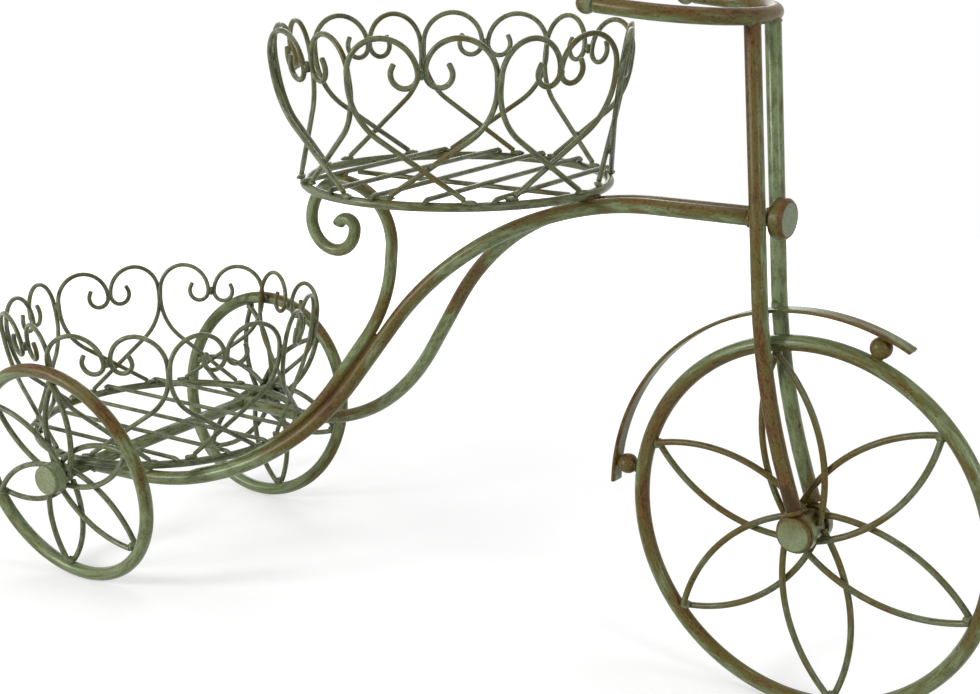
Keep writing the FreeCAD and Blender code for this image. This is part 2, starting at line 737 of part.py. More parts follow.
slope_top = scroll_route[0] + backs[0] * off_tube
slope_foot = over_corner(1)
sweep_turn = over_corner(2)
sweep_end = scroll_route[3] + backs[2] * off_tube
scroll_foot = sweep_turn + (sweep_end - sweep_turn) * size("scroll_foot_share")
leave = slope_top + (slope_foot - slope_top) * size("scroll_leave_share")
top_radius = size("scroll_top_radius")
scroll_lean = angle("scroll_lean_angle")
upward = V(math.sin(scroll_lean), 0, math.cos(scroll_lean))
scroll_centre = leave + V(-math.cos(scroll_lean), 0, math.sin(scroll_lean)) * top_radius
under_wire = V(upper_x + first_floor_x, leave.y, upper_z + floor_lift) - scroll_centre
touch = top_radius + scroll_rod + floor_wire + gap
along = under_wire.dot(upward)
stem = along - math.sqrt(along ** 2 - under_wire.dot(under_wire) + touch ** 2)
rise_end = leave + upward * stem
tube_radii = bend_radii(right)[ARCH_CORNERS:ARCH_CORNERS + 2]
lower_points = [scroll_foot, sweep_turn, slope_foot, leave, rise_end]
lower_radii = [radius - off_tube for radius in reversed(tube_radii)] + [size("scroll_bend_radius")]
scroll_steps = (
    (top_radius, 90 + size("scroll_lean_angle")),
    (size("scroll_back_radius"), 90),
    (size("scroll_under_radius"), 90),
    (size("scroll_inner_radius"), 90),
    (size("scroll_eye_radius"), 90),
    (size("scroll_tip_radius"), size("scroll_tip_angle")),
)


def scroll_point(u, w):
    return V(u, leave.y, w)


scroll_path = bent(lower_points, lower_radii)
scroll_path += drawn((rise_end.x, rise_end.z), 90 - size("scroll_lean_angle"), scroll_steps, scroll_point)
keep(swept("scroll_bracket", scroll_path, "scroll_rod_dia"), "scroll_bracket")

doc.recompute()

for obj in doc.Objects:
    if "Invalid" in obj.State or "Error" in obj.State:
        raise RuntimeError("%s failed: %s" % (obj.Label, obj.State))
for label, obj in nodes.items():
    if obj.Shape.isNull() or not obj.Shape.isValid():
        raise RuntimeError("%s has no valid shape" % label)
    if not obj.Shape.Solids or obj.Shape.Volume <= 0:
        raise RuntimeError("%s is not solid" % label)

os.makedirs("parts", exist_ok=True)
for label, obj in nodes.items():
    obj.Shape.exportStep(os.path.join("parts", label + ".step"))
print("%d sub-parts, lean %.2f degrees" % (len(nodes), math.degrees(lean)))
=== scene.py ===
import json
import math
from types import SimpleNamespace

import bpy
import numpy as np
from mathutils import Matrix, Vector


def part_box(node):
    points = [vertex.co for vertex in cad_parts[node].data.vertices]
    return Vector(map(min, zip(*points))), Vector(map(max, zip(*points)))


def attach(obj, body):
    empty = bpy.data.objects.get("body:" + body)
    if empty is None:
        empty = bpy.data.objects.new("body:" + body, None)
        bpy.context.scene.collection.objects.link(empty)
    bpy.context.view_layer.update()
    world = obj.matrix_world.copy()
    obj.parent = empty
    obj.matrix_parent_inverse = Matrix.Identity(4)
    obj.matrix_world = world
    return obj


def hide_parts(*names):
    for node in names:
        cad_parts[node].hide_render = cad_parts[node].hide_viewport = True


bl_info = {
    "name": "Tricycle plant stand",
    "version": (1, 0, 0),
    "blender": (4, 5, 0),
    "location": "View3D > Sidebar > Plant stand",
    "description": "Dresses the wrought-iron plant stand with round rods, welds and antiqued paint",
    "category": "Object",
}

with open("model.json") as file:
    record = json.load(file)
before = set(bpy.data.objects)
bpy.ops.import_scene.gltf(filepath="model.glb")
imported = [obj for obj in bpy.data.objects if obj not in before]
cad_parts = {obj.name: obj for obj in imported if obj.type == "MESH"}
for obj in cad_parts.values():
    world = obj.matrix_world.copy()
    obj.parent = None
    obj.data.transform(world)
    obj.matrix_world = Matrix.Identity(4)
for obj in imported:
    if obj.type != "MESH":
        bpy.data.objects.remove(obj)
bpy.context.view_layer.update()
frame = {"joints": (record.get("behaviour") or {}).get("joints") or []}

MM = 0.001
TAU = 2 * math.pi
AHEAD = np.array([1.0, 0.0, 0.0])
ACROSS = np.array([0.0, 1.0, 0.0])
UP = np.array([0.0, 0.0, 1.0])
SIDES = (("right", -1), ("left", 1))

# Sizes in millimetres and angles in degrees, as the solids were made. Round pieces go by their radius.
# The barrels are half lengths. The scroll's leave and foot are shares of a run of the tube.
SIZE = SimpleNamespace(
    tube=6.0, ring_rod=3.5, heart_wire=2.1, floor_wire=2.0, petal_wire=2.5, scroll_rod=5.0, gap=0.3,
    front_rim=140.0, front_hub=12.5, front_barrel=9.2, front_cap=15.0, front_cap_at=9.5,
    rear_rim=99.5, rear_hub=9.0, rear_barrel=5.3, rear_bore=5.3, wheel_clearance=16.4, spindle=4.0,
    head_height=374.0, arch_setback=129.25, arch=250.0, frame_slope=55.8,
    splay_angle=16.4, splay_setback=192.25, knee_inset=38.0, tail_inset=33.0,
    fork_turn=-4.9, fork_half_gap=15.5, fork_bend=550.0, foot_shift=3.8, cope=4.5,
    upper_rake=4.7, lower_rake=19.6, lower_run=93.0,
    bar_height=514.6, bar_half_width=69.0, bar_bend=66.0, bar_reach=101.5, bar_tilt=4.6, grip_ball=7.75,
    guard_width=13.0, guard_thickness=3.0, guard_front=64.0, guard_rear=180.0, guard_ball=8.1,
    knob=15.0, knob_face=13.0, knob_length=11.0, knob_edge=8.5, knob_bore=3.8, knob_depth=8.0, stud=3.75,
    ring=121.6, heart_setback=3.4, flare=8.8, rise=85.0, tail_slope=35.5, side_run=6.5, side_gap=0.75,
    curl=9.8, curl_turn=205.0, curl_tip=4.5, hook_turn=60.0,
    scroll_leave=0.22, scroll_foot=0.7, scroll_lean=5.0, scroll_bend=130.0,
)
# Bearings of the floor wires' ends on each ring, and the radius and turn of each arc of the scroll.
UPPER_FLOOR = (-38.8, -16.6, 3.2, 23.4, 47.6)
LOWER_FLOOR = (-44.9, -22.7, -3.0, 17.1, 40.9)
SCROLL_TURNS = ((46.0, 95.0), (33.5, 90.0), (23.7, 90.0), (19.5, 90.0), (7.4, 90.0), (9.6, 67.0))
# Wheels: rim, hub, half a petal's width, how far out it is widest, and the turn of the first petal.
WHEELS = {
    "front": (SIZE.front_rim, SIZE.front_hub, 25.0, 57.0, 43.0),
    "right": (SIZE.rear_rim, SIZE.rear_hub, 17.4, 39.8, 22.5),
    "left": (SIZE.rear_rim, SIZE.rear_hub, 17.4, 39.8, 46.0),
}
HEARTS = 8
PETALS = 6
ARCH_CORNERS = 3
# Points round a rod, and round a cap.
TUBE_SIDES = 28
WIRE_SIDES = 14
CAP_SIDES = 56


def middle(node):
    """Middle of a CAD node's box, in millimetres."""
    low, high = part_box(node)
    return (np.array(low) + np.array(high)) / 2 / MM


def unit_vector(vector):
    """The vector, made one long."""
    vector = np.asarray(vector, float)
    return vector / np.linalg.norm(vector)


def turn_about(axis, degrees):
    """Rotation matrix about an axis.

    One, plus the sine times the axis' cross product, plus one less the cosine times its square.
    """
    x, y, z = unit_vector(axis)
    angle = math.radians(degrees)
    cross = np.array([[0, -z, y], [z, 0, -x], [-y, x, 0]])
    return np.eye(3) + math.sin(angle) * cross + (1 - math.cos(angle)) * cross @ cross


FRONT = middle("front_rim")
REAR = middle("rear_axle")
UPPER = middle("upper_base_ring")
LOWER = middle("lower_base_ring")
# Baskets: middle of the base ring, bearings of the floor wires, and how far the floor is turned.
BASKETS = (("upper", UPPER, UPPER_FLOOR, -90), ("lower", LOWER, LOWER_FLOOR, 0))
KNOB = np.array(frame["joints"][0]["pos_m"]) / MM
UNIT_TURN = turn_about(UP, SIZE.fork_turn)
UNIT_ACROSS = UNIT_TURN @ ACROSS

# Hearts: the flat panel's own sizes.
FLARE = math.radians(SIZE.flare)
SLOPE = math.radians(SIZE.tail_slope)
APOTHEM = SIZE.ring - SIZE.heart_setback
TAIL_FOOT = math.sqrt(SIZE.ring ** 2 - APOTHEM ** 2)
PANEL_SIDE = (APOTHEM + SIZE.rise * math.sin(FLARE)) * math.tan(math.pi / HEARTS) - SIZE.side_gap
LAYER = SIZE.heart_wire + SIZE.gap / 2
SPAN = TAIL_FOOT + PANEL_SIDE
TAIL_RUN = SPAN * math.cos(SLOPE) / (1 - math.sin(SLOPE)) - SIZE.rise
SIDE_RADIUS = (SIZE.rise * math.cos(SLOPE) - SPAN * math.sin(SLOPE)) / (1 - math.sin(SLOPE))
LOBE = (PANEL_SIDE - LAYER) / 2
HEART_SEAT = SIZE.ring_rod + SIZE.gap + SIZE.heart_wire * math.cos(SLOPE)
FLOOR_SEAT = SIZE.ring_rod + SIZE.floor_wire + SIZE.gap

# Rear wheels: they lean out until their rims touch the sides of the hearts.
SIDE_REACH = math.hypot(APOTHEM + SIZE.rise * math.sin(FLARE) + LAYER, PANEL_SIDE)
HALF_TRACK = SIZE.ring + SIZE.wheel_clearance
RIM_INSET = SIZE.heart_wire + SIZE.tube + SIZE.gap
LEAN = math.asin((SIDE_REACH + RIM_INSET - HALF_TRACK) / SIZE.rear_rim)
RIM_TOUCH = SIDE_REACH + SIZE.heart_wire + SIZE.gap / 2
RIM_TOP = REAR[2] + SIZE.rear_rim * math.cos(LEAN)

# Fork legs in the front unit's frame, from the floor under the hub, and the mudguard's inner radius.
RAKE_UP = math.radians(SIZE.upper_rake)
RAKE_LOW = math.radians(SIZE.lower_rake)
LEG_UP = np.array([-math.sin(RAKE_LOW), 0, math.cos(RAKE_LOW)])
LEG_ACROSS = np.array([math.cos(RAKE_LOW), 0, math.sin(RAKE_LOW)])
FOOT = UP * FRONT[2] + LEG_UP * (SIZE.front_cap + SIZE.gap) + LEG_ACROSS * SIZE.foot_shift
KNEE = FOOT + LEG_UP * SIZE.lower_run
UPPER_LEG = SIZE.bar_height - SIZE.tube - SIZE.gap - KNEE[2]
LEG_TOP = KNEE + np.array([-math.tan(RAKE_UP), 0, 1]) * UPPER_LEG
GUARD_INSIDE = SIZE.front_rim + SIZE.tube + 2 * SIZE.guard_ball + 2 * SIZE.gap


def in_front_unit(points):
    """Points of the front unit, measured from the hub's upright line, turned into the stand's frame."""
    return np.asarray(points, float) @ UNIT_TURN.T + AHEAD * FRONT[0]


def fork_side(point, hand):
    """A point of the fork's middle plane, moved to the leg on one side, in the stand's frame."""
    return in_front_unit(point + ACROSS * hand * SIZE.fork_half_gap)


# Stains: place, reach and amount of wear. A negative amount is a cleaner patch.
# The last entry is no stain but painted light: a wide cleaner patch that makes the near lower-left lighter.
STAINS_AND_PAINTED_LIGHT = [
    (np.array(spot), reach, amount)
    for spot, reach, amount in (
        (KNOB - AHEAD * 18.0, 34.0, 0.5),
        ((UPPER[0] + SIZE.ring, 0.0, UPPER[2] - 8.0), 16.0, 0.6),
        (fork_side(LEG_TOP, -1), 14.0, 0.35),
        (fork_side(LEG_TOP, 1), 14.0, 0.35),
        (fork_side(FOOT, -1), 22.0, 0.35),
        (fork_side(FOOT, 1), 16.0, 0.3),
        ((LOWER[0], -RIM_TOUCH, RIM_TOP), 14.0, 0.3),
        ((LOWER[0], RIM_TOUCH, RIM_TOP), 14.0, 0.3),
        ((-58.0, -62.0, 204.0), 44.0, 0.75),
        ((-105.0, -75.0, 161.0), 40.0, 0.55),
        ((-175.0, -92.0, 120.0), 60.0, -0.6),
        ((0.0, 38.0, 290.0), 48.0, 0.75),
        ((-64.0, 64.0, 204.0), 50.0, -0.5),
        ((-148.0, 81.0, 127.0), 42.0, 0.55),
        ((-34.0, -52.0, 280.0), 30.0, 0.45),
        ((-64.0, -58.0, 228.0), 22.0, -0.5),
        ((302.0, -14.0, 204.0), 70.0, 0.3),
        ((186.0, 9.0, 130.0), 55.0, 0.45),
        ((277.0, -2.0, 285.0), 60.0, -0.2),
        ((-235.0, -140.0, 150.0), 60.0, 0.35),
        ((-290.0, -150.0, 206.0), 40.0, 0.35),
        # Painted light: a wide cleaner patch that lightens the near rim, petals, lower ring, lower hearts and
        # near cap.
        ((LOWER[0], -70.0, LOWER[2] + 50.0), 190.0, -0.3),
    )
]


def flat_path(start, heading, steps):
    """Path on a flat: straight runs by length, and arcs by radius and turn, sampled every three degrees."""
    here = np.array(start, float)
    course = math.radians(heading)
    path = [here[None]]
    for step in steps:
        if len(step) == 1:
            count = max(2, int(step[0] / 4))
            t = np.linspace(0, step[0], count + 1)[1:, None]
            run = here + t * np.array([math.cos(course), math.sin(course)])
        else:
            radius, turn = step
            hand = math.copysign(radius, turn)
            sweep = math.radians(turn)
            a = course + np.linspace(0, sweep, max(6, int(abs(turn) / 3)) + 1)[1:]
            run = here + hand * np.stack([np.sin(a) - math.sin(course), math.cos(course) - np.cos(a)], -1)
            course += sweep
        path.append(run)
        here = run[-1]
    return np.concatenate(path)


def corner_arc(before, corner, after, radius, count=None):
    """Tangent arc that rounds a corner, the directions back and ahead, and its reach from the corner.

    Each point is a sum of the arc's first and last spoke, weighted by sines, which keeps the radius.
    """
    back = unit_vector(before - corner)
    ahead = unit_vector(after - corner)
    half = math.acos(np.clip(back @ ahead, -1, 1)) / 2
    reach = radius / math.tan(half)
    centre = corner + unit_vector(back + ahead) * radius / math.sin(half)
    sweep = math.pi - 2 * half
    t = np.linspace(0, 1, count or max(4, int(math.degrees(sweep) / 2)) + 1)[:, None]
    first = corner + back * reach - centre
    last = corner + ahead * reach - centre
    arc = (np.sin((1 - t) * sweep) * first + np.sin(t * sweep) * last) / math.sin(sweep)
    return centre + arc, back, ahead, reach


def bent_path(points, radii):
    """Path through corner points with a tangent arc at each inner corner."""
    points = [np.asarray(p, float) for p in points]
    arcs = [corner_arc(*corner)[0] for corner in zip(points, points[1:], points[2:], radii)]
    path = np.concatenate([points[0][None], *arcs, points[-1][None]])
    steps = np.linalg.norm(np.diff(path, axis=0), axis=1)
    return path[np.concatenate([[True], steps > 1e-6])]


def lengths(path):
    """Distance along a path to each of its points."""
    return np.concatenate([[0], np.cumsum(np.linalg.norm(np.diff(path, axis=0), axis=1))])


def directions(path):
    """Direction of a path at each of its points."""
    tangents = np.gradient(path, axis=0)
    return tangents / np.linalg.norm(tangents, axis=1, keepdims=True)


class Sheet:
    """A grid of points with, for each, its place on the straightened rod and its wear, which also holds
    painted shade.
    """

    def __init__(self, points, run, age, loop=False, poles=None):
        self.points = points
        self.run = run
        self.age = age
        self.loop = loop
        self.poles = poles


def capped(points, run, age):
    """Sheet whose first and last row each lie on one point, which becomes a pole."""
    poles = ((points[0, 0], run[0, 0]), (points[-1, 0], run[-1, 0]))
    return Sheet(points[1:-1], run[1:-1], age[1:-1], False, poles)


def rod(path, radius, side, age, rub_and_shade=None, sides=WIRE_SIDES, offset=0.0):
    """Round rod: a circle carried along the path, square to it, with softly rounded ends.

    The radius is one number or one per point of the path. The circle's first direction is the side
    vector made square to the path. Wear is the piece's own level plus the rub_and_shade vector's share
    along the outward direction; where that vector points up, as on the tubes and handlebar, the browner
    tops it gives are partly rubbed-through wear and partly painted shade. The offset moves the paint's
    pattern, so that like pieces differ.
    """
    thick = np.broadcast_to(np.asarray(radius, float), (len(path),))
    tangent = directions(path)
    inset = np.array([0.0, 0.225, 0.4, 0.48])[:, None]
    size = np.array([0.0, 0.72, 0.95, 1.0])
    head = path[0] + tangent[0] * thick[0] * inset
    tail = path[-1] - tangent[-1] * thick[-1] * inset
    inner = slice(1, -1)
    centres = np.concatenate([head, path[inner], tail[::-1]])
    tangents = np.concatenate([np.repeat(tangent[:1], 4, 0), tangent[inner], np.repeat(tangent[-1:], 4, 0)])
    swell = np.concatenate([size * thick[0], thick[inner], size[::-1] * thick[-1]])
    return carried(centres, tangents, swell, side, age, rub_and_shade, sides, offset)


def carried(centres, tangents, radius, side, age, rub_and_shade, sides, offset):
    """Circles of the given radii round the centres, as one sheet with a pole at each end."""
    side = np.asarray(side, float)
    first = side - (tangents @ side)[:, None] * tangents
    first /= np.linalg.norm(first, axis=1)[:, None]
    second = np.cross(tangents, first)
    a = np.arange(sides) / sides * TAU
    out = first[:, None] * np.cos(a)[None, :, None] + second[:, None] * np.sin(a)[None, :, None]
    points = centres[:, None] + out * radius[:, None, None]
    run = np.empty(points.shape)
    run[..., 0] = lengths(centres)[:, None] + offset
    run[..., 1] = radius[:, None] * np.cos(a) + offset * 0.37
    run[..., 2] = radius[:, None] * np.sin(a) - offset * 0.61
    wear = np.full(points.shape[:2], age, float)
    # The rub_and_shade vector browns the side it points to: rubbed-through wear, and where it points up on
    # the tubes and handlebar, also painted shade on the tops.
    if rub_and_shade is not None:
        wear += out @ np.asarray(rub_and_shade, float)
    return capped(points, run, wear)


def hoop(centre, normal, radius, thickness, age, rub_and_shade, count, sides, offset, outer=0.0):
    """Closed hoop: a circle carried once round a larger circle square to the normal.

    The wear, with its painted shade, is the piece's own level, plus the rub_and_shade vector's share along
    the outward direction, plus the outer value times the cosine round the rod, which is one on the hoop's
    outside and minus one on its inside.
    """
    normal = unit_vector(normal)
    across = unit_vector(np.cross(normal, (0.123, 0.456, 0.789)))
    other = np.cross(normal, across)
    t = np.arange(count)[:, None] / count * TAU
    outward = across * np.cos(t) + other * np.sin(t)
    a = np.arange(sides)[None] / sides * TAU
    out = outward[:, None] * np.cos(a)[..., None] - normal * np.sin(a)[..., None]
    thickness = np.broadcast_to(np.asarray(thickness, float), (count,))[:, None]
    points = np.asarray(centre) + outward[:, None] * radius + out * thickness[..., None]
    run = np.empty(points.shape)
    run[..., 0] = radius * np.sin(t) + radius * np.cos(t) * 0.41 + offset
    run[..., 1] = thickness * np.cos(a) + radius * np.cos(t) * 0.05 + offset * 0.37
    run[..., 2] = thickness * np.sin(a) - offset * 0.61
    wear = age + outer * np.cos(a) + np.zeros(points.shape[:2])
    if rub_and_shade is not None:
        wear += out @ np.asarray(rub_and_shade, float)
    return Sheet(points, run, wear, True)


def turned(profile, origin, axis, age, sides=48, offset=0.0):
    """Turned piece: a profile spun about the axis.

    The profile's rows are (radius, height, wear), from the axis and back to it.
    """
    axis = unit_vector(axis)
    first = unit_vector(np.cross(axis, (0.31, 0.52, 0.79)))
    second = np.cross(first, axis)
    a = np.arange(sides) / sides * TAU
    out = first * np.cos(a)[:, None] + second * np.sin(a)[:, None]
    profile = np.asarray(profile, float)
    points = np.asarray(origin) + out[None] * profile[:, :1, None] + (axis * profile[:, 1:2])[:, None]
    return capped(points, points + offset, np.repeat(profile[:, 2:3] + age, sides, 1))


def rounded(outline, radii, worn_and_painted_light):
    """Profile of (radius, height) corners with each corner rounded; wear is raised on the rounded edges.

    On each side of a rounded edge is a row without wear, up to 0.8 mm away and nearer on a short run.
    """
    outline = [np.array(p, float) for p in outline]
    rows = [np.append(outline[0], 0)]
    for before, corner, after, radius in zip(outline, outline[1:], outline[2:], radii):
        arc, back, ahead, reach = corner_arc(before, corner, after, radius, 7)
        near = 0.8 * min(1.0, np.linalg.norm(before - corner) / 3)
        far = min(0.8, 0.3 * np.linalg.norm(after - corner))
        rows.append(np.append(corner + back * (reach + near), 0))
        rows.extend(np.append(p, worn_and_painted_light) for p in arc)
        rows.append(np.append(corner + ahead * (reach + far), 0))
    rows.append(np.append(outline[-1], 0))
    return np.array(rows)


def sphere(centre, radius, axis, age, offset=0.0):
    """Ball: a half circle spun about the axis.

    Its wear follows the cosine of three times the angle from the axis, which makes bands.
    """
    a = np.linspace(0, math.pi, 25)
    profile = np.stack([radius * np.sin(a), radius * np.cos(a), 0.25 * np.cos(3 * a)], -1)
    return turned(profile, centre, axis, age, 32, offset)


def bead(centre, along, across, reach, age, seed):
    """Weld bead: a ball drawn out to three half sizes, its surface raised and sunk by a few waves.

    The half sizes run along, across, and square to both. The seed shifts the waves.
    """
    along = unit_vector(along)
    across = np.asarray(across, float)
    across = unit_vector(across - (across @ along) * along)
    basis = np.stack([along, across, np.cross(along, across)]) * np.array(reach)[:, None]
    v = np.linspace(0, math.pi, 13)[:, None]
    u = np.arange(18)[None] / 18 * TAU
    lump = 1 + 0.10 * np.sin(3 * u + seed) * np.sin(2 * v + 1.7 * seed) + 0.07 * np.sin(5 * v + 2.3 * seed)
    ball = np.stack([np.cos(v) * lump, np.sin(v) * np.cos(u) * lump, np.sin(v) * np.sin(u) * lump], -1)
    points = (np.asarray(centre) + ball @ basis)[:, ::-1]
    return capped(points, points + seed * 13.0, np.full(points.shape[:2], age))


def collar(centre, axis, radius, thickness, age, seed):
    """Weld run round a rod's end: a hoop whose thickness rises and falls in two waves."""
    t = np.arange(40) / 40 * TAU
    waves = 1 + 0.12 * np.sin(7 * t + seed) + 0.09 * np.sin(11 * t + 2.1 * seed)
    return hoop(centre, axis, radius, thickness * waves, age, None, 40, 12, 17.0 * seed)


def skin(sheet, start):
    """Vertices, straightened places, wear and faces of one sheet, its vertices counted from start."""
    n, m = sheet.points.shape[:2]
    i = np.arange(n if sheet.loop else n - 1)[:, None]
    j = np.arange(m)[None]
    after_i = (i + 1) % n
    after_j = (j + 1) % m
    corners = np.broadcast_arrays(i * m + j, i * m + after_j, after_i * m + after_j, after_i * m + j)
    faces = (np.stack(corners, -1).reshape(-1, 4) + start).tolist()
    points = sheet.points.reshape(-1, 3)
    run = sheet.run.reshape(-1, 3)
    age = sheet.age.reshape(-1)
    if sheet.poles is not None:
        (head, head_run), (tail, tail_run) = sheet.poles
        points = np.concatenate([points, [head, tail]])
        run = np.concatenate([run, [head_run, tail_run]])
        age = np.concatenate([age, [age[0], age[-1]]])
        ring = np.arange(m)
        after = (ring + 1) % m
        pole = np.full(m, n * m)
        base = (n - 1) * m
        first_cap = np.stack([pole, after, ring], -1)
        last_cap = np.stack([pole + 1, base + ring, base + after], -1)
        faces += (np.concatenate([first_cap, last_cap]) + start).tolist()
    return points, run, age, faces


def piece(name, sheets, finish, nodes=(), body="stand"):
    """One mesh object in a finish, from sheets in millimetres; it rides on a body and stands for the nodes.

    Near each stain the wear changes by its amount, as a bell curve of the distance over its reach; the
    last entry is a painted light patch that lightens the near lower-left.
    """
    points, runs, wear_and_painted_light_parts, faces = [], [], [], []
    count = 0
    for sheet in sheets:
        p, r, a, f = skin(sheet, count)
        for spot, reach, amount in STAINS_AND_PAINTED_LIGHT:
            a = a + amount * np.exp(-((p - spot) ** 2).sum(1) / reach ** 2)
        points.append(p)
        runs.append(r)
        wear_and_painted_light_parts.append(a)
        faces += f
        count += len(p)
    mesh = bpy.data.meshes.new(name)
    mesh.from_pydata((np.concatenate(points) * MM).tolist(), [], faces)
    run = mesh.attributes.new("run", "FLOAT_VECTOR", "POINT")
    run.data.foreach_set("vector", (np.concatenate(runs) * MM).ravel())
    age = mesh.attributes.new("age", "FLOAT", "POINT")
    age.data.foreach_set("value", np.concatenate(wear_and_painted_light_parts))
    mesh.shade_smooth()
    mesh.materials.append(paint_for(finish))
    mesh.update()
    obj = bpy.data.objects.new(name, mesh)
    bpy.context.scene.collection.objects.link(obj)
    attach(obj, body)
    if nodes:
        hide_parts(*nodes)


# Finishes: the record's slot, the two greens, how far the wear, painted shade and painted light move
# the paint, how strong its streaks are, and how many streaks there are to the metre, along the rod and across
# it.
FINISHES = {
    "tube": dict(slot="tube_paint", greens=("sage", "moss"), spread=0.6, streaky=1.5, streaks=(27, 150)),
    "wire": dict(slot="wire_paint", greens=("olive", "bark"), spread=0.5, streaky=1.3, streaks=(34, 240)),
    "cap": dict(slot="cap_paint", greens=("cap", "moss"), spread=0.6, streaky=0.25, streaks=(40, 40)),
    "knob": dict(slot="cap_paint", greens=("sage", "bark"), spread=0.6, streaky=0.3, streaks=(40, 40)),
}


class Sockets:
    """Adds nodes to a material or world, and fills their inputs with values or with other nodes' outputs."""

    def __init__(self, owner):
        owner.use_nodes = True
        self.tree = owner.node_tree

    def fill(self, node, inputs):
        """Sets each input to its value, or joins it to the given output."""
        for key, value in inputs.items():
            if isinstance(value, bpy.types.NodeSocket):
                self.tree.links.new(value, node.inputs[key])
            else:
                node.inputs[key].default_value = value

    def node(self, kind, inputs, **settings):
        """A new node with its settings and inputs."""
        node = self.tree.nodes.new(kind)
        for key, value in settings.items():
            setattr(node, key, value)
        self.fill(node, inputs)
        return node

    def math(self, operation, first, second):
        """An operation on two numbers, each a value or an output."""
        return self.node("ShaderNodeMath", {0: first, 1: second}, operation=operation).outputs["Value"]

    def add(self, first, *terms):
        """Sum of all the terms."""
        for term in terms:
            first = self.math("ADD", first, term)
        return first

    def noise(self, vector, scale, stretch, detail, rough, shift=0.0):
        """Noise about zero on a vector scaled per axis; the stretch makes it long or short along the rod."""
        place = {"Vector": vector, "Scale": stretch, "Location": (shift, shift * 0.7, -shift)}
        moved = self.node("ShaderNodeMapping", place).outputs["Vector"]
        values = {"Vector": moved, "Scale": scale, "Detail": detail, "Roughness": rough}
        return self.math("SUBTRACT", self.node("ShaderNodeTexNoise", values).outputs["Fac"], 0.5)

    def between(self, value, low, high, first=0.0, last=1.0, kind="LINEAR"):
        """The value's way from low to high, carried over to the way from first to last."""
        inputs = {"Value": value, "From Min": low, "From Max": high, "To Min": first, "To Max": last}
        return self.node("ShaderNodeMapRange", inputs, interpolation_type=kind).outputs["Result"]

    def ramp(self, value, low, high):
        """Smooth step from low to high."""
        return self.between(value, low, high, kind="SMOOTHSTEP")

    def mix(self, factor, first, second):
        """Colour between two, each a colour or an output."""
        first, second = ((*c, 1.0) if isinstance(c, tuple) else c for c in (first, second))
        inputs = {"Factor": factor, 6: first, 7: second}
        return self.node("ShaderNodeMix", inputs, data_type="RGBA").outputs[2]

    def seen(self):
        """One for rays from the camera, from glossy surfaces and through glass, and otherwise zero."""
        rays = self.node("ShaderNodeLightPath", {}).outputs
        direct = self.math("MAXIMUM", rays["Is Camera Ray"], rays["Is Glossy Ray"])
        return self.math("MAXIMUM", direct, rays["Is Transmission Ray"])


def paint_for(finish):
    """The paint of a finish, made once from the chosen colours."""
    name = finish + " paint"
    if name not in bpy.data.materials:
        patina(name, FINISHES[finish], bpy.context.scene.stand_paint)
    return bpy.data.materials[name]


def patina(name, finish, look):
    """Antiqued paint: two greens, rubbed through in streaks to ochre, rust and umber, with dark specks.

    The streaks follow the straightened rod. The age attribute moves the paint from
    green towards umber; besides wear it holds painted shade on the tops of the tubes and handlebar and
    along the mudguard's edges, and a painted light patch on the near lower-left.
    """
    material = bpy.data.materials.new(name)
    paint = Sockets(material)
    along, across = finish["streaks"]
    streaky = finish["streaky"]
    light, deep = (tuple(getattr(look, green)) for green in finish["greens"])
    where = paint.node("ShaderNodeAttribute", {}, attribute_name="run").outputs["Vector"]
    age = paint.node("ShaderNodeAttribute", {}, attribute_name="age").outputs["Fac"]
    place = paint.node("ShaderNodeTexCoord", {}).outputs["Object"]
    cloud = paint.noise(place, 13.0, (1, 1, 1), 2.0, 0.5)
    grain = paint.noise(place, 560.0, (1, 1, 1), 4.0, 0.7)
    speck = paint.noise(where, 1.0, (330, 620, 620), 6.0, 0.8, 0.4)
    streak = paint.noise(where, 1.0, (along, across, across), 5.0, 0.6)
    second = paint.noise(where, 1.0, (along * 3, across * 1.8, across * 1.8), 4.0, 0.65, 3.1)
    brushed = paint.math("MULTIPLY", streak, streaky)
    fine = paint.math("MULTIPLY", second, streaky)
    spread_wear_and_painted_light = paint.math("MULTIPLY", age, finish["spread"])
    worn_and_painted_light = paint.add(brushed, cloud, spread_wear_and_painted_light, paint.math("MULTIPLY", grain, 0.5))
    bare_and_painted_light = paint.add(fine, worn_and_painted_light)
    shade = paint.add(fine, paint.math("MULTIPLY", grain, 0.6))
    dots = paint.math("MULTIPLY", paint.ramp(speck, 0.0, 0.1), paint.ramp(bare_and_painted_light, 0.02, 0.36))
    base = paint.mix(paint.ramp(shade, -0.22, 0.16), deep, light)
    # Through the age attribute these ochre, rust and umber layers also lay painted shade on the tube and
    # handlebar tops and the mudguard's edges, and are held back by the painted light patch on the near
    # lower-left.
    base = paint.mix(paint.ramp(worn_and_painted_light, -0.02, 0.24), base, tuple(look.ochre))
    base = paint.mix(paint.ramp(bare_and_painted_light, 0.36, 0.66), base, tuple(look.rust))
    base = paint.mix(paint.ramp(bare_and_painted_light, 0.5, 0.88), base, tuple(look.umber))
    base = paint.mix(dots, base, tuple(look.umber))
    height = paint.add(grain, paint.math("MULTIPLY", bare_and_painted_light, -0.4))
    bump = paint.node("ShaderNodeBump", {"Strength": 0.2, "Distance": 0.0005, "Height": height})
    surface = {
        "Base Color": base,
        "Roughness": paint.between(worn_and_painted_light, -0.4, 0.5, 0.23, 0.4),
        "Specular IOR Level": 0.22,
        "Normal": bump.outputs["Normal"],
    }
    paint.fill(paint.tree.nodes["Principled BSDF"], surface)


def colour(name, description, default):
    """A colour that can be changed."""
    return bpy.props.FloatVectorProperty(
        name=name, description=description, subtype="COLOR", size=3, min=0, max=1, default=default
    )


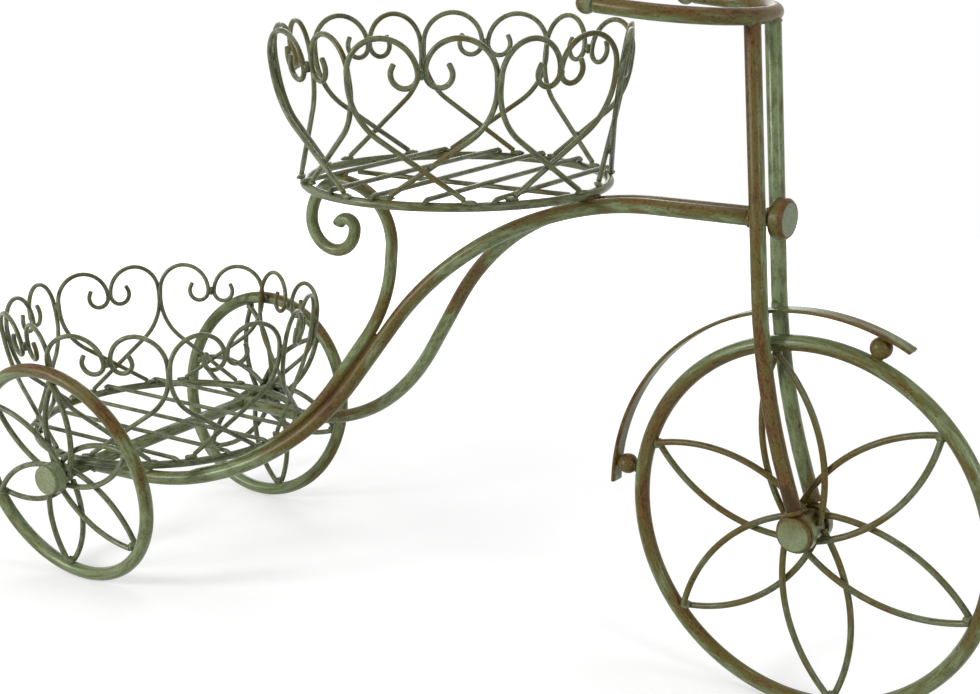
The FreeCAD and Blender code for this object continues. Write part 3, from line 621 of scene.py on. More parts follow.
def rod_radius(name, description, size):
    """A rod's radius that can be changed, from its size in millimetres."""
    return bpy.props.FloatProperty(
        name=name, description=description, unit="LENGTH", min=0, precision=4, default=size * MM
    )


class StandPaint(bpy.types.PropertyGroup):
    """Colours of the antiqued paint."""

    sage: colour("Sage", "Main green of tubes and knob", (0.186, 0.234, 0.115))
    moss: colour("Moss", "Darker green of tubes and caps", (0.104, 0.12, 0.044))
    olive: colour("Olive", "Main green of the wires", (0.162, 0.186, 0.096))
    bark: colour("Bark", "Darker green of wires and knob", (0.066, 0.072, 0.035))
    cap: colour("Cap", "Clean green of hub caps and balls", (0.25, 0.295, 0.168))
    # Ochre, rust and umber also serve as painted shade on the tube and handlebar tops and along the
    # mudguard's edges.
    ochre: colour("Ochre", "Yellow-brown of the first wear", (0.108, 0.086, 0.018))
    rust: colour("Rust", "Red-brown of the deeper wear", (0.145, 0.058, 0.014))
    umber: colour("Umber", "Dark brown of the deepest wear", (0.044, 0.025, 0.004))


class StandRods(bpy.types.PropertyGroup):
    """Radius of the rods as they are drawn."""

    tube: rod_radius("Tube", "Frame tubes, rims, fork legs and handlebar", SIZE.tube)
    ring: rod_radius("Ring", "Base rings of the baskets", SIZE.ring_rod)
    heart: rod_radius("Heart", "Wires of the hearts", SIZE.heart_wire)
    floor: rod_radius("Floor wire", "Wires of the basket floors", SIZE.floor_wire)
    petal: rod_radius("Petal", "Wires of the wheels' petals", SIZE.petal_wire)
    scroll: rod_radius("Scroll", "Rod of the scroll bracket", SIZE.scroll_rod)


class StandStage(bpy.types.PropertyGroup):
    """Floor, light and camera."""

    floor: colour("Floor", "Colour of the floor", (0.66, 0.66, 0.66))
    sky: bpy.props.FloatProperty(
        name="Sky", description="Strength of the light from all round", default=0.34, min=0
    )
    key: bpy.props.FloatProperty(
        name="Key", description="Power of the key lamp", default=50.0, min=0, unit="POWER"
    )
    lens: bpy.props.FloatProperty(
        name="Lens", description="Focal length", default=55.99, min=1, unit="CAMERA"
    )
    eye: bpy.props.FloatVectorProperty(
        name="Camera", description="Place of the camera", subtype="TRANSLATION", unit="LENGTH", size=3,
        default=((float(FRONT[0]) + 357.35) * MM, -1.0111, 0.5854),
    )
    tilt: bpy.props.FloatProperty(
        name="Tilt", description="How far the camera looks down", subtype="ANGLE", default=math.radians(16.03)
    )
    turn: bpy.props.FloatProperty(
        name="Turn", description="How far round from the right side the camera stands", subtype="ANGLE",
        default=math.radians(32.0),
    )


def on_panel(flat, layer, centre, turn):
    """Points (across, up) on a layer of a heart's panel, leaned out by the flare and set round the ring."""
    across, up = np.asarray(flat, float).T
    out = APOTHEM + up * math.sin(FLARE) + layer * math.cos(FLARE)
    high = up * math.cos(FLARE) - layer * math.sin(FLARE) + HEART_SEAT
    return np.stack([out, across, high], -1) @ turn_about(UP, turn).T + centre


def panel_out(turn):
    """Outward direction of a heart's panel."""
    return turn_about(UP, turn) @ np.array([math.cos(FLARE), 0, -math.sin(FLARE)])


def heart_wire(hand, centre, turn):
    """Centre line of one wire of a heart: tail, side, lobe and curl on the panel, set round the ring."""
    steps = (
        (TAIL_RUN,),
        (SIDE_RADIUS, SIZE.tail_slope - 90),
        (SIZE.side_run,),
        (LOBE, -180),
        (SIZE.curl, -SIZE.curl_turn),
        (SIZE.curl_tip,),
    )
    flat = flat_path((TAIL_FOOT, 0), 180 - SIZE.tail_slope, steps)
    return on_panel(flat * np.array([hand, 1]), hand * LAYER, centre, turn)


def floor_wire(bearing, spin, centre, radius, offset):
    """One floor wire: straight across the ring, its ends bent down over the ring's rod."""
    bearing = math.radians(bearing)
    aside = SIZE.ring * math.sin(bearing)
    half = SIZE.ring * math.cos(bearing)
    hook = FLOOR_SEAT / math.cos(bearing) ** 2
    drop_sine = math.sin(math.radians(SIZE.hook_turn)) * math.cos(bearing)
    drop = math.degrees(math.asin(drop_sine))
    start = (-half - hook * drop_sine, FLOOR_SEAT - hook + hook * math.cos(math.radians(drop)))
    flat = flat_path(start, drop, ((hook, -drop), (2 * half,), (hook, -drop)))
    path = np.stack([flat[:, 0], np.full(len(flat), aside), flat[:, 1]], -1)
    round_ring = turn_about(UP, spin)
    return rod(path @ round_ring.T + centre, radius, round_ring[:, 1], -0.1, offset=offset)


def frame_corners(hand):
    """Corner points of a frame tube: the arch from the head, the slope, and the lower sweep to the axle."""
    arch = SIZE.arch
    fall = math.radians(SIZE.frame_slope)
    arch_x = FRONT[0] - SIZE.arch_setback
    splay_x = FRONT[0] - SIZE.splay_setback
    splay = math.tan(math.radians(SIZE.splay_angle))
    head_z = SIZE.head_height
    slope_run = (head_z - REAR[2] - 2 * arch * (1 - math.cos(fall))) / math.sin(fall)
    sweep_x = arch_x - 2 * arch * math.sin(fall) - slope_run * math.cos(fall)
    corner = fall / ARCH_CORNERS
    arm = arch / math.cos(corner / 2)
    twin = SIZE.tube + SIZE.gap / 2
    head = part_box("frame_tube_right")[1][0] / MM
    points = [(head, hand * twin, head_z)]
    for k in range(ARCH_CORNERS):
        lean = corner * (k + 0.5)
        x = arch_x - arm * math.sin(lean)
        y = twin + max(0.0, splay_x - x) * splay
        points.append((x, hand * y, head_z - arch + arm * math.cos(lean)))
    for k in reversed(range(ARCH_CORNERS)):
        lean = corner * (k + 0.5)
        x = sweep_x + arm * math.sin(lean)
        y = twin + (splay_x - x) * splay if k else HALF_TRACK - SIZE.knee_inset
        points.append((x, hand * y, REAR[2] + arch - arm * math.cos(lean)))
    tail_y = HALF_TRACK - SIZE.tail_inset
    points.append((REAR[0] + SIZE.tube + 2 * SIZE.gap, hand * tail_y, REAR[2]))
    return [np.array(p) for p in points]


def corner_radii(points):
    """Arch radius at each corner, a little less where the splay turns the tube harder."""
    reach = SIZE.arch * math.tan(math.radians(SIZE.frame_slope) / ARCH_CORNERS / 2)
    radii = []
    for before, corner, after in zip(points, points[1:], points[2:]):
        half = math.acos(unit_vector(before - corner) @ unit_vector(after - corner)) / 2
        radii.append(min(SIZE.arch, reach * math.tan(half)))
    return radii


def frame_path(hand):
    """Centre line of a frame tube."""
    points = frame_corners(hand)
    return bent_path(points, corner_radii(points))


def petal_paths(name):
    """Centre lines of a wheel's petals: two mirrored arcs each, from just inside the rim to the hub."""
    rim, hub, half_width, waist, _ = WHEELS[name]
    tip = rim - SIZE.tube
    radius = ((tip - waist) ** 2 + half_width ** 2) / (2 * half_width)
    outer = math.acos((tip - 0.8 - waist) / radius)
    inner = math.pi / 2 + math.asin(waist / radius)
    a = np.linspace(outer, inner, 60)
    u = waist + radius * np.cos(a)
    w = half_width - radius + radius * np.sin(a)
    kept = np.hypot(u, w) > hub + SIZE.gap
    u, w = u[kept], w[kept]
    layer = SIZE.petal_wire + SIZE.gap / 2
    paths = []
    for k in range(PETALS):
        phase = TAU * k / PETALS
        for hand in (1, -1):
            x = u * math.cos(phase) - hand * w * math.sin(phase)
            z = u * math.sin(phase) + hand * w * math.cos(phase)
            paths.append(np.stack([x, np.full(len(u), hand * layer), z], -1))
    return paths


def cap_profile(rim, face, length, lip=3.0, wall=2.0):
    """Profile of a stepped cap from the middle of its face, round its edge and into its hollow."""
    outline = (
        (0, length),
        (face, length),
        (face, length - lip),
        (rim, length - lip),
        (rim, 0),
        (rim - wall, 0),
        (rim - wall, length - lip - wall),
        (0, length - lip - wall),
    )
    return rounded(outline, (1.0, 0.4, 1.0, 0.6, 0.3, 0.5), 0.55)


def drawn_foot(path, thick):
    """The path with a point every 6 mm along its foot, and the thickness at each point.

    The thickness grows by a smooth cubic, from 0.15 of the full one near the foot to all of it 210 mm along.
    """
    length = lengths(path)
    extra = np.arange(6.0, min(210.0, length[-1]), 6.0)
    extra = extra[np.abs(extra[:, None] - length).min(1) > 1.0]
    grid = np.sort(np.concatenate([length, extra]))
    path = np.stack([np.interp(grid, length, path[:, k]) for k in range(3)], -1)
    share = np.clip((grid - 20.0) / 190.0, 0, 1)
    return path, thick * (0.15 + 0.85 * share * share * (3 - 2 * share))


class STAND_OT_frame(bpy.types.Operator):
    """Two frame tubes and the rear axle"""

    bl_idname = "stand.frame"
    bl_label = "Frame tubes"

    def execute(self, context):
        tube = context.scene.stand_rods.tube / MM
        for (name, hand), age in zip(SIDES, (0.27, 0.1)):
            # Their upward rub_and_shade vector browns the tubes' tops: partly rubbed-through wear, partly
            # painted shade.
            sheet = rod(frame_path(hand), tube, ACROSS, age, (0.1, 0.15, 0.5), TUBE_SIDES, 40.0 + 300 * hand)
            piece("bent_frame_tube_" + name, [sheet], "tube", ["frame_tube_" + name])
        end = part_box("rear_axle")[1][1] / MM
        hub_side = SIZE.rear_barrel * math.cos(LEAN) + SIZE.rear_hub * math.sin(LEAN)
        shoulder = HALF_TRACK - hub_side - SIZE.gap
        half = np.array([[end, 0], [end, SIZE.spindle], [shoulder, SIZE.spindle], [shoulder - 0.4, tube]])
        y, radius = np.concatenate([half * (-1, 1), half[::-1]]).T
        centres = np.array([REAR[0], 0, REAR[2]]) + y[:, None] * ACROSS
        sheet = carried(centres, np.tile(ACROSS, (len(y), 1)), radius, AHEAD, 0.0, None, TUBE_SIDES, 11.0)
        piece("axle_tube", [sheet], "tube", ["rear_axle"])
        return {"FINISHED"}


class STAND_OT_wheels(bpy.types.Operator):
    """Front wheel and two rear wheels with petals, hubs and caps"""

    bl_idname = "stand.wheels"
    bl_label = "Wheels"

    def execute(self, context):
        rods = context.scene.stand_rods
        self.wheel(rods, "front", FRONT, UNIT_TURN, 0.05, (0.1, -0.1, 0.1), -0.3)
        profile = cap_profile(rim=SIZE.front_cap, face=13.5, length=11.0)
        for name, hand in SIDES:
            seat = FRONT + UNIT_ACROSS * hand * SIZE.front_cap_at
            sheet = turned(profile, seat, hand * UNIT_ACROSS, -0.45, CAP_SIDES, 5.0)
            piece("turned_front_hub_cap_" + name, [sheet], "cap", ["front_hub_cap_" + name])
        wide, half = SIZE.front_hub, SIZE.front_barrel
        barrel = rounded(((0, half), (wide, half), (wide, -half), (0, -half)), (0.5, 0.5), 0.3)
        piece("front_barrel", [turned(barrel, FRONT, UNIT_ACROSS, -0.1)], "cap", ["front_hub"])
        profile = cap_profile(rim=14.25, face=13.0, length=12.5)
        bore, wide, half = SIZE.rear_bore, SIZE.rear_hub, SIZE.rear_barrel
        outline = ((bore, 0), (bore, half), (wide, half), (wide, -half), (bore, -half), (bore, -0.1))
        ring = rounded(outline, (0.3, 0.6, 0.6, 0.3), 0.3)
        for name, hand in SIDES:
            centre = np.array([REAR[0], hand * HALF_TRACK, REAR[2]])
            basis = turn_about(AHEAD, -hand * math.degrees(LEAN))
            self.wheel(rods, name, centre, basis, 0.08, (0.0, 0.1 * hand, 0.1), 0.4)
            low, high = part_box("rear_hub_cap_" + name)
            back = (low[1] if hand > 0 else high[1]) / MM
            sheet = turned(profile, (REAR[0], back, REAR[2]), hand * ACROSS, -0.5, CAP_SIDES, 9.0 * hand)
            piece("turned_rear_hub_cap_" + name, [sheet], "cap", ["rear_hub_cap_" + name])
            sheet = turned(ring, centre, basis @ ACROSS, -0.1)
            sheet = Sheet(sheet.points, sheet.run, sheet.age, True)
            piece("turned_rear_hub_" + name, [sheet], "cap", ["rear_hub_" + name])
        return {"FINISHED"}

    def wheel(self, rods, name, centre, basis, age, rub_and_shade, outer):
        """Rim hoop, petals and tip welds of one wheel."""
        rim, *_, phase = WHEELS[name]
        node = "front_%s" if name == "front" else "rear_%s_" + name
        axis = basis @ ACROSS
        sheet = hoop(centre, axis, rim, rods.tube / MM, age, rub_and_shade, 200, TUBE_SIDES, centre[0], outer)
        piece("rim_" + name, [sheet], "tube", [node % "rim"])
        spin = basis @ turn_about(ACROSS, -phase)
        petal_age = 0.18 if name == "front" else -0.15
        sheets = [
            rod(path @ spin.T + centre, rods.petal / MM, axis, petal_age, offset=97.0 * k)
            for k, path in enumerate(petal_paths(name))
        ]
        welds = []
        for k in range(PETALS):
            angle = TAU * k / PETALS
            outward = spin @ np.array([math.cos(angle), 0, math.sin(angle)])
            tip = outward * (rim - SIZE.tube - 1.5) + centre
            welds.append(bead(tip, outward, axis, (4.0, 4.2, 4.0), age - 0.2, 1.0 + k))
        piece("petals_" + name, sheets, "wire", [node % "petals"])
        piece("petal_welds_" + name, welds, "wire")


class STAND_OT_fork(bpy.types.Operator):
    """Fork legs, handlebar and its grip balls"""

    bl_idname = "stand.fork"
    bl_label = "Fork and handlebar"

    def execute(self, context):
        tube = context.scene.stand_rods.tube / MM
        coped = LEG_TOP + unit_vector(LEG_TOP - KNEE) * SIZE.cope
        leg = bent_path([coped, KNEE, FOOT], [SIZE.fork_bend])
        for (name, hand), age, rub_and_shade in zip(SIDES, (0.32, -0.35), ((-0.2, -0.4, 0), (0.25, 0.2, 0))):
            sheet = rod(fork_side(leg, hand), tube, UNIT_ACROSS, age, rub_and_shade, TUBE_SIDES, 500.0 * hand)
            piece("bent_fork_leg_" + name, [sheet], "tube", ["fork_leg_" + name])
        tilt = math.radians(SIZE.bar_tilt)
        bend = SIZE.bar_bend
        half = SIZE.bar_half_width
        ball_seat = math.sqrt(SIZE.grip_ball ** 2 - SIZE.tube ** 2)
        run = SIZE.bar_reach - bend - ball_seat - SIZE.gap
        steps = ((run,), (bend, 90), (2 * (half - bend),), (bend, 90), (run,))
        flat = flat_path((-bend - run, -half), 0, steps)

        def bar_point(flat):
            """Points (ahead, across) of the bar's flat, tilted and set on the legs."""
            u, w = np.asarray(flat).T
            x = LEG_TOP[0] + u * math.cos(tilt)
            return in_front_unit(np.stack([x, w, SIZE.bar_height - u * math.sin(tilt)], -1))

        normal = UNIT_TURN @ np.array([math.sin(tilt), 0, math.cos(tilt)])
        # The upward rub_and_shade vector browns the bar's top: partly rubbed-through wear, partly painted
        # shade.
        sheet = rod(bar_point(flat), tube, normal, 0.28, (0.1, 0.0, 0.55), TUBE_SIDES, 77.0)
        piece("bent_handlebar", [sheet], "tube", ["handlebar"])
        for name, hand in SIDES:
            centre = bar_point([(-SIZE.bar_reach, hand * half)])[0]
            ball = sphere(centre, SIZE.grip_ball, AHEAD, 0.1, 31.0)
            piece("turned_grip_ball_" + name, [ball], "cap", ["grip_ball_" + name])
        return {"FINISHED"}


class STAND_OT_mudguard(bpy.types.Operator):
    """Mudguard strip and the two balls that hold it"""

    bl_idname = "stand.mudguard"
    bl_label = "Mudguard"

    def execute(self, context):
        piece("bent_mudguard", [self.strip()], "tube", ["mudguard"])
        for end in ("front", "rear"):
            node = "mudguard_ball_" + end
            ball = sphere(middle(node), SIZE.guard_ball, ACROSS, 0.4, 13.0)
            piece("turned_" + node, [ball], "cap", [node])
        return {"FINISHED"}

    def strip(self):
        """A rectangle with soft corners, carried along an arc round the hub and closed at both ends.

        Its sides follow the cosine and sine of one turn, each raised to a small power with its sign kept.
        """
        count = 90
        a = np.radians(np.linspace(SIZE.guard_front, SIZE.guard_rear, count))
        a = np.concatenate([a[:1], a, a[-1:]])[:, None]
        scale = np.concatenate([[0.0], np.ones(count), [0.0]])[:, None]
        half = SIZE.guard_width / 2
        thick = SIZE.guard_thickness / 2
        t = np.arange(32)[None] / 32 * TAU
        softness = 0.35
        across = half * np.sign(np.cos(t)) * np.abs(np.cos(t)) ** softness
        depth = thick * np.sign(np.sin(t)) * np.abs(np.sin(t)) ** softness
        radius = GUARD_INSIDE + thick + scale * depth
        local = np.stack([np.cos(a) * radius, scale * across, np.sin(a) * radius], -1)
        points = in_front_unit(local) + UP * FRONT[2]
        run = np.stack([a * GUARD_INSIDE + 0 * radius, local[..., 1], radius], -1)
        # Painted shade: the narrow sides get raised wear, so a dark line runs along the strip's edges. The
        # outer face gets a little more wear than the inner face, which stays lighter as painted light from
        # below.
        edge = np.abs(across) > half * 0.93
        return capped(points, run, 0.06 + 0.1 * (depth > 0) + 0.5 * edge + 0 * radius)


class STAND_OT_head(bpy.types.Operator):
    """Head stud and the clamp knob that turns on it"""

    bl_idname = "stand.head"
    bl_label = "Head knob"

    def execute(self, context):
        axis = np.array(frame["joints"][0]["axis"])
        wide, face, bore = SIZE.knob, SIZE.knob_face, SIZE.knob_bore
        length, edge, depth = SIZE.knob_length, SIZE.knob_edge, SIZE.knob_depth
        face_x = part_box("head_knob")[1][0] / MM - face * abs(axis[1])
        knob = KNOB + axis * ((face_x - KNOB[0]) / axis[0] - length)
        outline = ((0, length), (face, length), (wide, edge), (wide, 0), (bore, 0), (bore, depth), (0, depth))
        profile = rounded(outline, (0.8, 1.2, 1.6, 0.4, 0.4), 0.4)
        outside, height, wear = profile.T
        bevel = outside > face - 0.4
        wear[bevel & (height > edge - 1.1)] = 0.6
        wear[~bevel & (height > length - 0.5)] = -0.55
        sheet = turned(profile, knob, axis, 0.2, 64, 3.0)
        piece("turned_head_knob", [sheet], "knob", ["head_knob"], "knob")
        low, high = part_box("head_stud")
        reach = axis * ((high[0] - low[0]) / MM - 0.6)
        end = knob + axis * (depth - 0.4)
        path = np.stack([end - reach, end - reach / 2, end])
        piece("turned_head_stud", [rod(path, SIZE.stud, UP, 0.4, None, 20, 7.0)], "cap", ["head_stud"])
        backs = ((3.6, 0.1), (5.4, 0.4))
        neck = [collar(knob - axis * back, axis, 4.2, 2.6, age, 3.0 + back) for back, age in backs]
        side = np.cross(UP, axis)
        for hand in (-1, 1):
            spot = knob - axis * 3.9 + side * hand * 11.5 + UP * 3.0
            neck.append(bead(spot, axis, side, (3.0, 4.2, 4.6), -0.2, 6.0 + hand))
        piece("head_neck_weld", neck, "tube")
        return {"FINISHED"}


class STAND_OT_baskets(bpy.types.Operator):
    """Base rings, floor wires and hearts of the two baskets"""

    bl_idname = "stand.baskets"
    bl_label = "Baskets"

    def execute(self, context):
        rods = context.scene.stand_rods
        for name, centre, floor, spin in BASKETS:
            sheet = hoop(centre, UP, SIZE.ring, rods.ring / MM, -0.12, UP * 0.2, 180, 20, centre[2])
            piece("hoop_" + name, [sheet], "wire", [name + "_base_ring"])
            for k in range(HEARTS):
                turn = 360 / HEARTS * (k + 0.5)
                out = panel_out(turn)
                sheets = []
                for hand in (1, -1):
                    path = heart_wire(hand, centre, turn)
                    offset = 210.0 * k + 57.0 * hand + centre[2]
                    sheets.append(rod(path, rods.heart / MM, out, -0.04, UP * 0.1, WIRE_SIDES, offset))
                node = "%s_heart_%d" % (name, k + 1)
                piece("bent_" + node, sheets, "wire", [node])
            sheets = [floor_wire(way, spin, centre, rods.floor / MM, 71.0 * k) for k, way in enumerate(floor)]
            piece("bent_%s_floor_wires" % name, sheets, "wire", [name + "_floor_wires"])
        low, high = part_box("upper_cross_wire")
        x = np.linspace(low[0] / MM, high[0] / MM, 12)[:, None]
        path = middle("upper_cross_wire") * (0, 1, 1) + x * AHEAD
        sheet = rod(path, rods.floor / MM, UP, 0.1, None, WIRE_SIDES, 19.0)
        piece("straight_cross_wire", [sheet], "wire", ["upper_cross_wire"])
        return {"FINISHED"}


class STAND_OT_scroll(bpy.types.Operator):
    """Scroll bracket under the upper basket"""

    bl_idname = "stand.scroll"
    bl_label = "Scroll bracket"

    def execute(self, context):
        right = frame_corners(-1)
        route = right[ARCH_CORNERS:ARCH_CORNERS + 4]
        runs = [unit_vector(b - a) for a, b in zip(route, route[1:])]
        backs = [unit_vector(UP - run * run[2]) for run in runs]
        first_radius, second_radius = corner_radii(right)[ARCH_CORNERS:ARCH_CORNERS + 2]

        def beside(off):
            """Corners of a line that follows the tube's back at a distance: top, foot, sweep and tail."""
            top = route[0] + backs[0] * off
            foot, sweep = (
                route[k] + (backs[k - 1] + backs[k]) * off / (1 + backs[k - 1] @ backs[k]) for k in (1, 2)
            )
            tail = sweep + (route[3] + backs[2] * off - sweep) * SIZE.scroll_foot
            return top, foot, sweep, tail

        # The rod leaves the tube, bends up and curls; its first turn just touches the first floor wire.
        off = SIZE.tube + SIZE.scroll_rod + 2 * SIZE.gap
        top, foot, sweep, tail = beside(off)
        leave = top + (foot - top) * SIZE.scroll_leave
        lean = math.radians(SIZE.scroll_lean)
        upward = np.array([math.sin(lean), 0, math.cos(lean)])
        turn_arm = SCROLL_TURNS[0][0] * np.array([-math.cos(lean), 0, math.sin(lean)])
        turn_edge = SCROLL_TURNS[0][0] + SIZE.scroll_rod
        wire_x = UPPER[0] + SIZE.ring * math.sin(math.radians(UPPER_FLOOR[0]))
        wire = np.array([wire_x, leave[1], UPPER[2] + FLOOR_SEAT])
        reach = wire - leave - turn_arm
        touch = turn_edge + SIZE.floor_wire + SIZE.gap
        along = reach @ upward
        end = leave + upward * (along - math.sqrt(along ** 2 - reach @ reach + touch ** 2))
        radii = [second_radius - off, first_radius - off, SIZE.scroll_bend]
        lower = bent_path([tail, sweep, foot, leave, end], radii)
        flat = flat_path((end[0], end[2]), 90 - SIZE.scroll_lean, SCROLL_TURNS)
        curl = np.stack([flat[:, 0], np.full(len(flat), leave[1]), flat[:, 1]], -1)

        # The foot is hammered thin, and sinks towards the tube as it thins.
        thick = context.scene.stand_rods.scroll / MM
        path, thin = drawn_foot(np.concatenate([lower, curl[1:]]), thick)
        tangents = directions(path)
        lying = UP - tangents * tangents[:, 2:]
        lying = lying / np.maximum(np.linalg.norm(lying, axis=1, keepdims=True), 0.1)
        sheet = rod(path - lying * (thick - thin)[:, None], thin, ACROSS, 0.0, (0.25, 0.1, 0.2), 24, 222.0)
        piece("bent_scroll_bracket", [sheet], "tube", ["scroll_bracket"])

        # Welds: at the floor wire, at the tail, and a run along the seam between rod and tube.
        rise = unit_vector(wire - end - turn_arm)
        spot = end + turn_arm + rise * turn_edge
        beads = [bead(spot, ACROSS, rise, (5.0, 2.4, 3.2), 0.3, 2.0)]
        beads.append(bead(tail - backs[2] * SIZE.scroll_rod, runs[2], ACROSS, (6.0, 2.6, 1.2), 0.0, 4.0))
        close = SIZE.tube + SIZE.gap
        top, foot, sweep, tail = beside(close)
        corners = [tail, sweep, foot, foot + (top - foot) * 0.6]
        seam, width = drawn_foot(bent_path(corners, [second_radius - close, first_radius - close]), 2.0)
        beads.append(rod(seam, width, ACROSS, 0.2, None, 12, 31.0))
        piece("scroll_welds", beads, "tube")
        return {"FINISHED"}


class STAND_OT_welds(bpy.types.Operator):
    """Weld beads and weld runs at the joints"""

    bl_idname = "stand.welds"
    bl_label = "Welds"

    def execute(self, context):
        piece("fork_welds", self.fork(), "tube")
        piece("frame_welds", self.frame_joints(), "tube")
        for name, centre, *_ in BASKETS:
            piece(name + "_heart_welds", self.hearts(centre), "wire")
        return {"FINISHED"}

    def fork(self):
        """Runs round the tops and feet of the legs, beads at the mudguard and at its balls."""
        sheets = []
        rise = UNIT_TURN @ unit_vector(LEG_TOP - KNEE)
        foot_rise = UNIT_TURN @ LEG_UP
        band = GUARD_INSIDE + SIZE.guard_thickness / 2
        leg = bent_path([LEG_TOP, KNEE, FOOT], [SIZE.fork_bend])[::-1]
        height = np.linspace(FOOT[2], LEG_TOP[2], 800)
        fine = np.stack([np.interp(height, leg[:, 2], leg[:, 0]), 0 * height, height], -1)
        meets = fine[np.argmin(np.abs(np.hypot(fine[:, 0], fine[:, 2] - FRONT[2]) - band))]
        for hand in (-1, 1):
            top = fork_side(LEG_TOP, hand) + rise * 1.4
            foot = fork_side(FOOT, hand) + foot_rise * 0.8
            inward = fork_side(meets, hand) - UNIT_ACROSS * hand * 7.4
            sheets += [
                bead(top, rise, UNIT_ACROSS, (4.4, 6.4, 6.4), 0.0, 2 + hand),
                collar(foot, foot_rise, 5.2, 1.9, 0.1, 5 + hand),
                bead(inward, foot_rise, UNIT_ACROSS, (6.0, 3.0, 2.6), 0.1, 3 + hand),
            ]
        for end in ("front", "rear"):
            ball = middle("mudguard_ball_" + end)
            outward = unit_vector(ball - FRONT)
            for side in (-1, 1):
                spot = ball + outward * side * SIZE.guard_ball
                sheets.append(bead(spot, outward, UNIT_ACROSS, (1.9, 4.4, 4.4), 0.3, 4 + side))
        return sheets

    def frame_joints(self):
        """Beads where the tubes meet the fork, the rings and the axle, and where the rims meet the hearts."""
        sheets = []
        twin = SIZE.tube + SIZE.gap / 2
        upper_seat = UPPER[2] - SIZE.ring_rod
        lower_seat = LOWER[2] - SIZE.ring_rod
        for hand in (-1, 1):
            path = frame_path(hand)
            head = path[0] + np.array([0.5, hand * 4.0, 0])
            front = (UPPER[0] + SIZE.ring - 1.5, hand * twin, upper_seat)
            low = path[path[:, 2] <= LOWER[2] + 25]
            x, y, _ = low[np.argmin(np.abs(np.hypot(low[:, 0] - LOWER[0], low[:, 1]) - SIZE.ring))]
            end = unit_vector(path[-1] - path[-2])
            side = (LOWER[0], hand * SIZE.ring, lower_seat)
            touch = (LOWER[0], hand * RIM_TOUCH, RIM_TOP)
            sheets += [
                bead(head, UP, AHEAD, (6.0, 3.4, 4.2), 0.4, 1 + hand),
                bead(front, ACROSS, AHEAD, (6.0, 5.5, 2.4), 0.45, 2 + hand),
                bead((x, y, lower_seat), AHEAD, ACROSS, (6.0, 5.0, 2.4), 0.1, 3 + hand),
                collar(path[-1] - end * 0.4, end, 5.2, 1.7, 0.0, 6 + hand),
                bead(side, ACROSS, AHEAD, (5.0, 5.0, 2.4), 0.0, 7 + hand),
                bead(touch, AHEAD, UP, (4.4, 3.8, 2.6), 0.0, 8 + hand),
            ]
        return sheets

    def hearts(self, centre):
        """Beads at each heart's middle, where its tails cross and meet the ring, and between neighbours."""
        sheets = []
        step = 360 / HEARTS
        high = SIZE.rise + SIZE.side_run
        level = SIZE.rise + SIZE.side_run / 2
        seat = -HEART_SEAT + SIZE.ring_rod + 0.6
        for k in range(HEARTS):
            turn = step * (k + 0.5)
            out = panel_out(turn)
            along = turn_about(UP, turn) @ ACROSS
            up = np.cross(out, along)
            meet = on_panel([(0, high), (0, TAIL_FOOT * math.tan(SLOPE))], 0, centre, turn)
            sheets.append(bead(meet[0], up, out, (4.0, 3.2, 2.2), -0.1, 1.0 + k))
            sheets.append(bead(meet[1], up, out, (2.4, 2.8, 2.4), 0.0, 2.0 + k))
            for hand in (1, -1):
                foot = on_panel([(hand * (TAIL_FOOT + 2.5), seat)], hand * LAYER, centre, turn)[0]
                sheets.append(bead(foot, along, out, (6.0, 3.2, 2.0), -0.25, 3.0 + k + 0.4 * hand))
            near = on_panel([(-PANEL_SIDE, level)], LAYER, centre, turn)[0]
            far = on_panel([(PANEL_SIDE, level)], -LAYER, centre, turn - step)[0]
            width = np.linalg.norm(near - far) / 2 + 0.9
            sheets.append(bead((near + far) / 2, up, near - far, (4.4, width, 2.0), -0.1, 5.0 + k))
        return sheets


# Lamps: place, the point it is aimed at, width, and power as a share of the key lamp's.
LAMPS = (
    ("key", (-1.6, -2.2, 1.0), (0, 0, 0.25), 0.7, 1.0),
    ("fill", (2.5, -0.9, 1.1), (0.1, 0, 0.25), 0.7, 0.38),
    ("rear", (-1.4, 2.4, 1.3), (0, 0, 0.25), 1.6, 0.42),
    ("top", (0.2, 0.3, 3.0), (0, 0, 0.3), 1.6, 0.42),
)


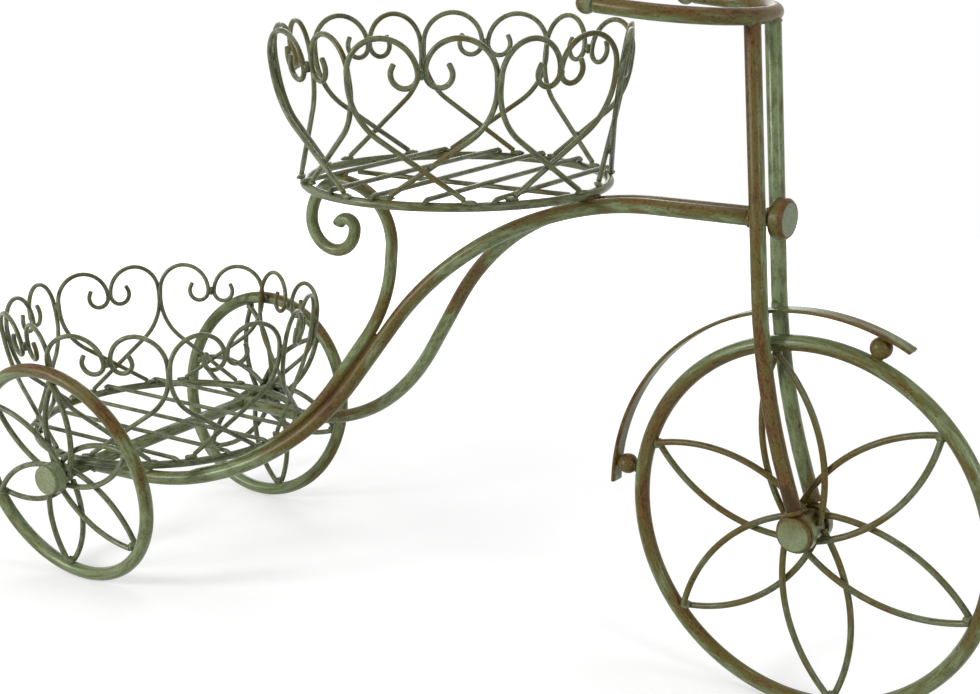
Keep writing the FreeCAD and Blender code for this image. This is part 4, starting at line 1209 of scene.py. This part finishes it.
class STAND_OT_stage(bpy.types.Operator):
    """Pale floor, soft light, white surround and camera"""

    bl_idname = "stand.stage"
    bl_label = "Stage"

    def execute(self, context):
        scene = context.scene
        look = scene.stand_stage
        scene.view_settings.view_transform = "Standard"
        self.floor(scene, look)
        scene.world = bpy.data.worlds.new("surround")
        sky = Sockets(scene.world)
        strength = sky.between(sky.seen(), 0.0, 1.0, look.sky, 1.0)
        sky.fill(sky.tree.nodes["Background"], {"Color": (1, 1, 1, 1), "Strength": strength})
        for name, spot, target, wide, share in LAMPS:
            lamp = bpy.data.lights.new(name, "AREA")
            lamp.shape = "DISK"
            lamp.size = wide
            lamp.energy = look.key * share
            aim = np.array(spot) - np.array(target)
            tilt = math.acos(aim[2] / np.linalg.norm(aim))
            self.place(scene, name, lamp, spot, (tilt, 0, math.atan2(aim[0], -aim[1])))
        camera = bpy.data.cameras.new("camera")
        camera.lens = look.lens
        camera.sensor_width = 36.0
        camera.sensor_fit = "HORIZONTAL"
        camera.clip_end = 100
        scene.camera = self.place(scene, "camera", camera, look.eye, (math.pi / 2 - look.tilt, 0, look.turn))
        return {"FINISHED"}

    def place(self, scene, name, data, spot, turn=(0, 0, 0)):
        """An object of the stage at its place."""
        holder = bpy.data.objects.new(name, data)
        holder.location = spot
        holder.rotation_euler = turn
        scene.collection.objects.link(holder)
        return holder

    def floor(self, scene, look):
        """A flat square that glows where it is seen, outwards up to white, so that only shadow shows."""
        half = 1.8
        mesh = bpy.data.meshes.new("floor")
        corners = [(-half, -half, 0), (half, -half, 0), (half, half, 0), (-half, half, 0)]
        mesh.from_pydata(corners, [], [(0, 1, 2, 3)])
        material = bpy.data.materials.new("floor")
        paint = Sockets(material)
        spot = paint.node("ShaderNodeTexCoord", {}).outputs["Object"]
        reach = paint.node("ShaderNodeVectorMath", {0: spot}, operation="LENGTH").outputs["Value"]
        glow = paint.between(reach, 0.7, 1.6, 0.44, 1.0)
        surface = {
            "Base Color": (*look.floor, 1),
            "Roughness": 0.9,
            "Emission Color": (1, 1, 1, 1),
            "Emission Strength": paint.math("MULTIPLY", paint.seen(), glow),
        }
        paint.fill(paint.tree.nodes["Principled BSDF"], surface)
        mesh.materials.append(material)
        ground = self.place(scene, "floor", mesh, (0, 0, 0))


class STAND_PT_panel(bpy.types.Panel):
    """Buttons for the stand's pieces"""

    bl_idname = "STAND_PT_panel"
    bl_label = "Plant stand"
    bl_space_type = "VIEW_3D"
    bl_region_type = "UI"
    bl_category = "Plant stand"

    def draw(self, context):
        for operator in OPERATORS:
            self.layout.operator(operator.bl_idname)


OPERATORS = (
    STAND_OT_frame,
    STAND_OT_wheels,
    STAND_OT_fork,
    STAND_OT_mudguard,
    STAND_OT_head,
    STAND_OT_baskets,
    STAND_OT_scroll,
    STAND_OT_welds,
    STAND_OT_stage,
)
CLASSES = (StandPaint, StandRods, StandStage, *OPERATORS, STAND_PT_panel)


def register():
    for item in CLASSES:
        bpy.utils.register_class(item)
    bpy.types.Scene.stand_paint = bpy.props.PointerProperty(type=StandPaint)
    bpy.types.Scene.stand_rods = bpy.props.PointerProperty(type=StandRods)
    bpy.types.Scene.stand_stage = bpy.props.PointerProperty(type=StandStage)


def unregister():
    del bpy.types.Scene.stand_stage
    del bpy.types.Scene.stand_rods
    del bpy.types.Scene.stand_paint
    for item in reversed(CLASSES):
        bpy.utils.unregister_class(item)


def main():
    register()
    bpy.ops.stand.frame()
    bpy.ops.stand.wheels()
    bpy.ops.stand.fork()
    bpy.ops.stand.mudguard()
    bpy.ops.stand.head()
    bpy.ops.stand.baskets()
    bpy.ops.stand.scroll()
    bpy.ops.stand.welds()
    bpy.ops.stand.stage()


if __name__ == "__main__":
    main()
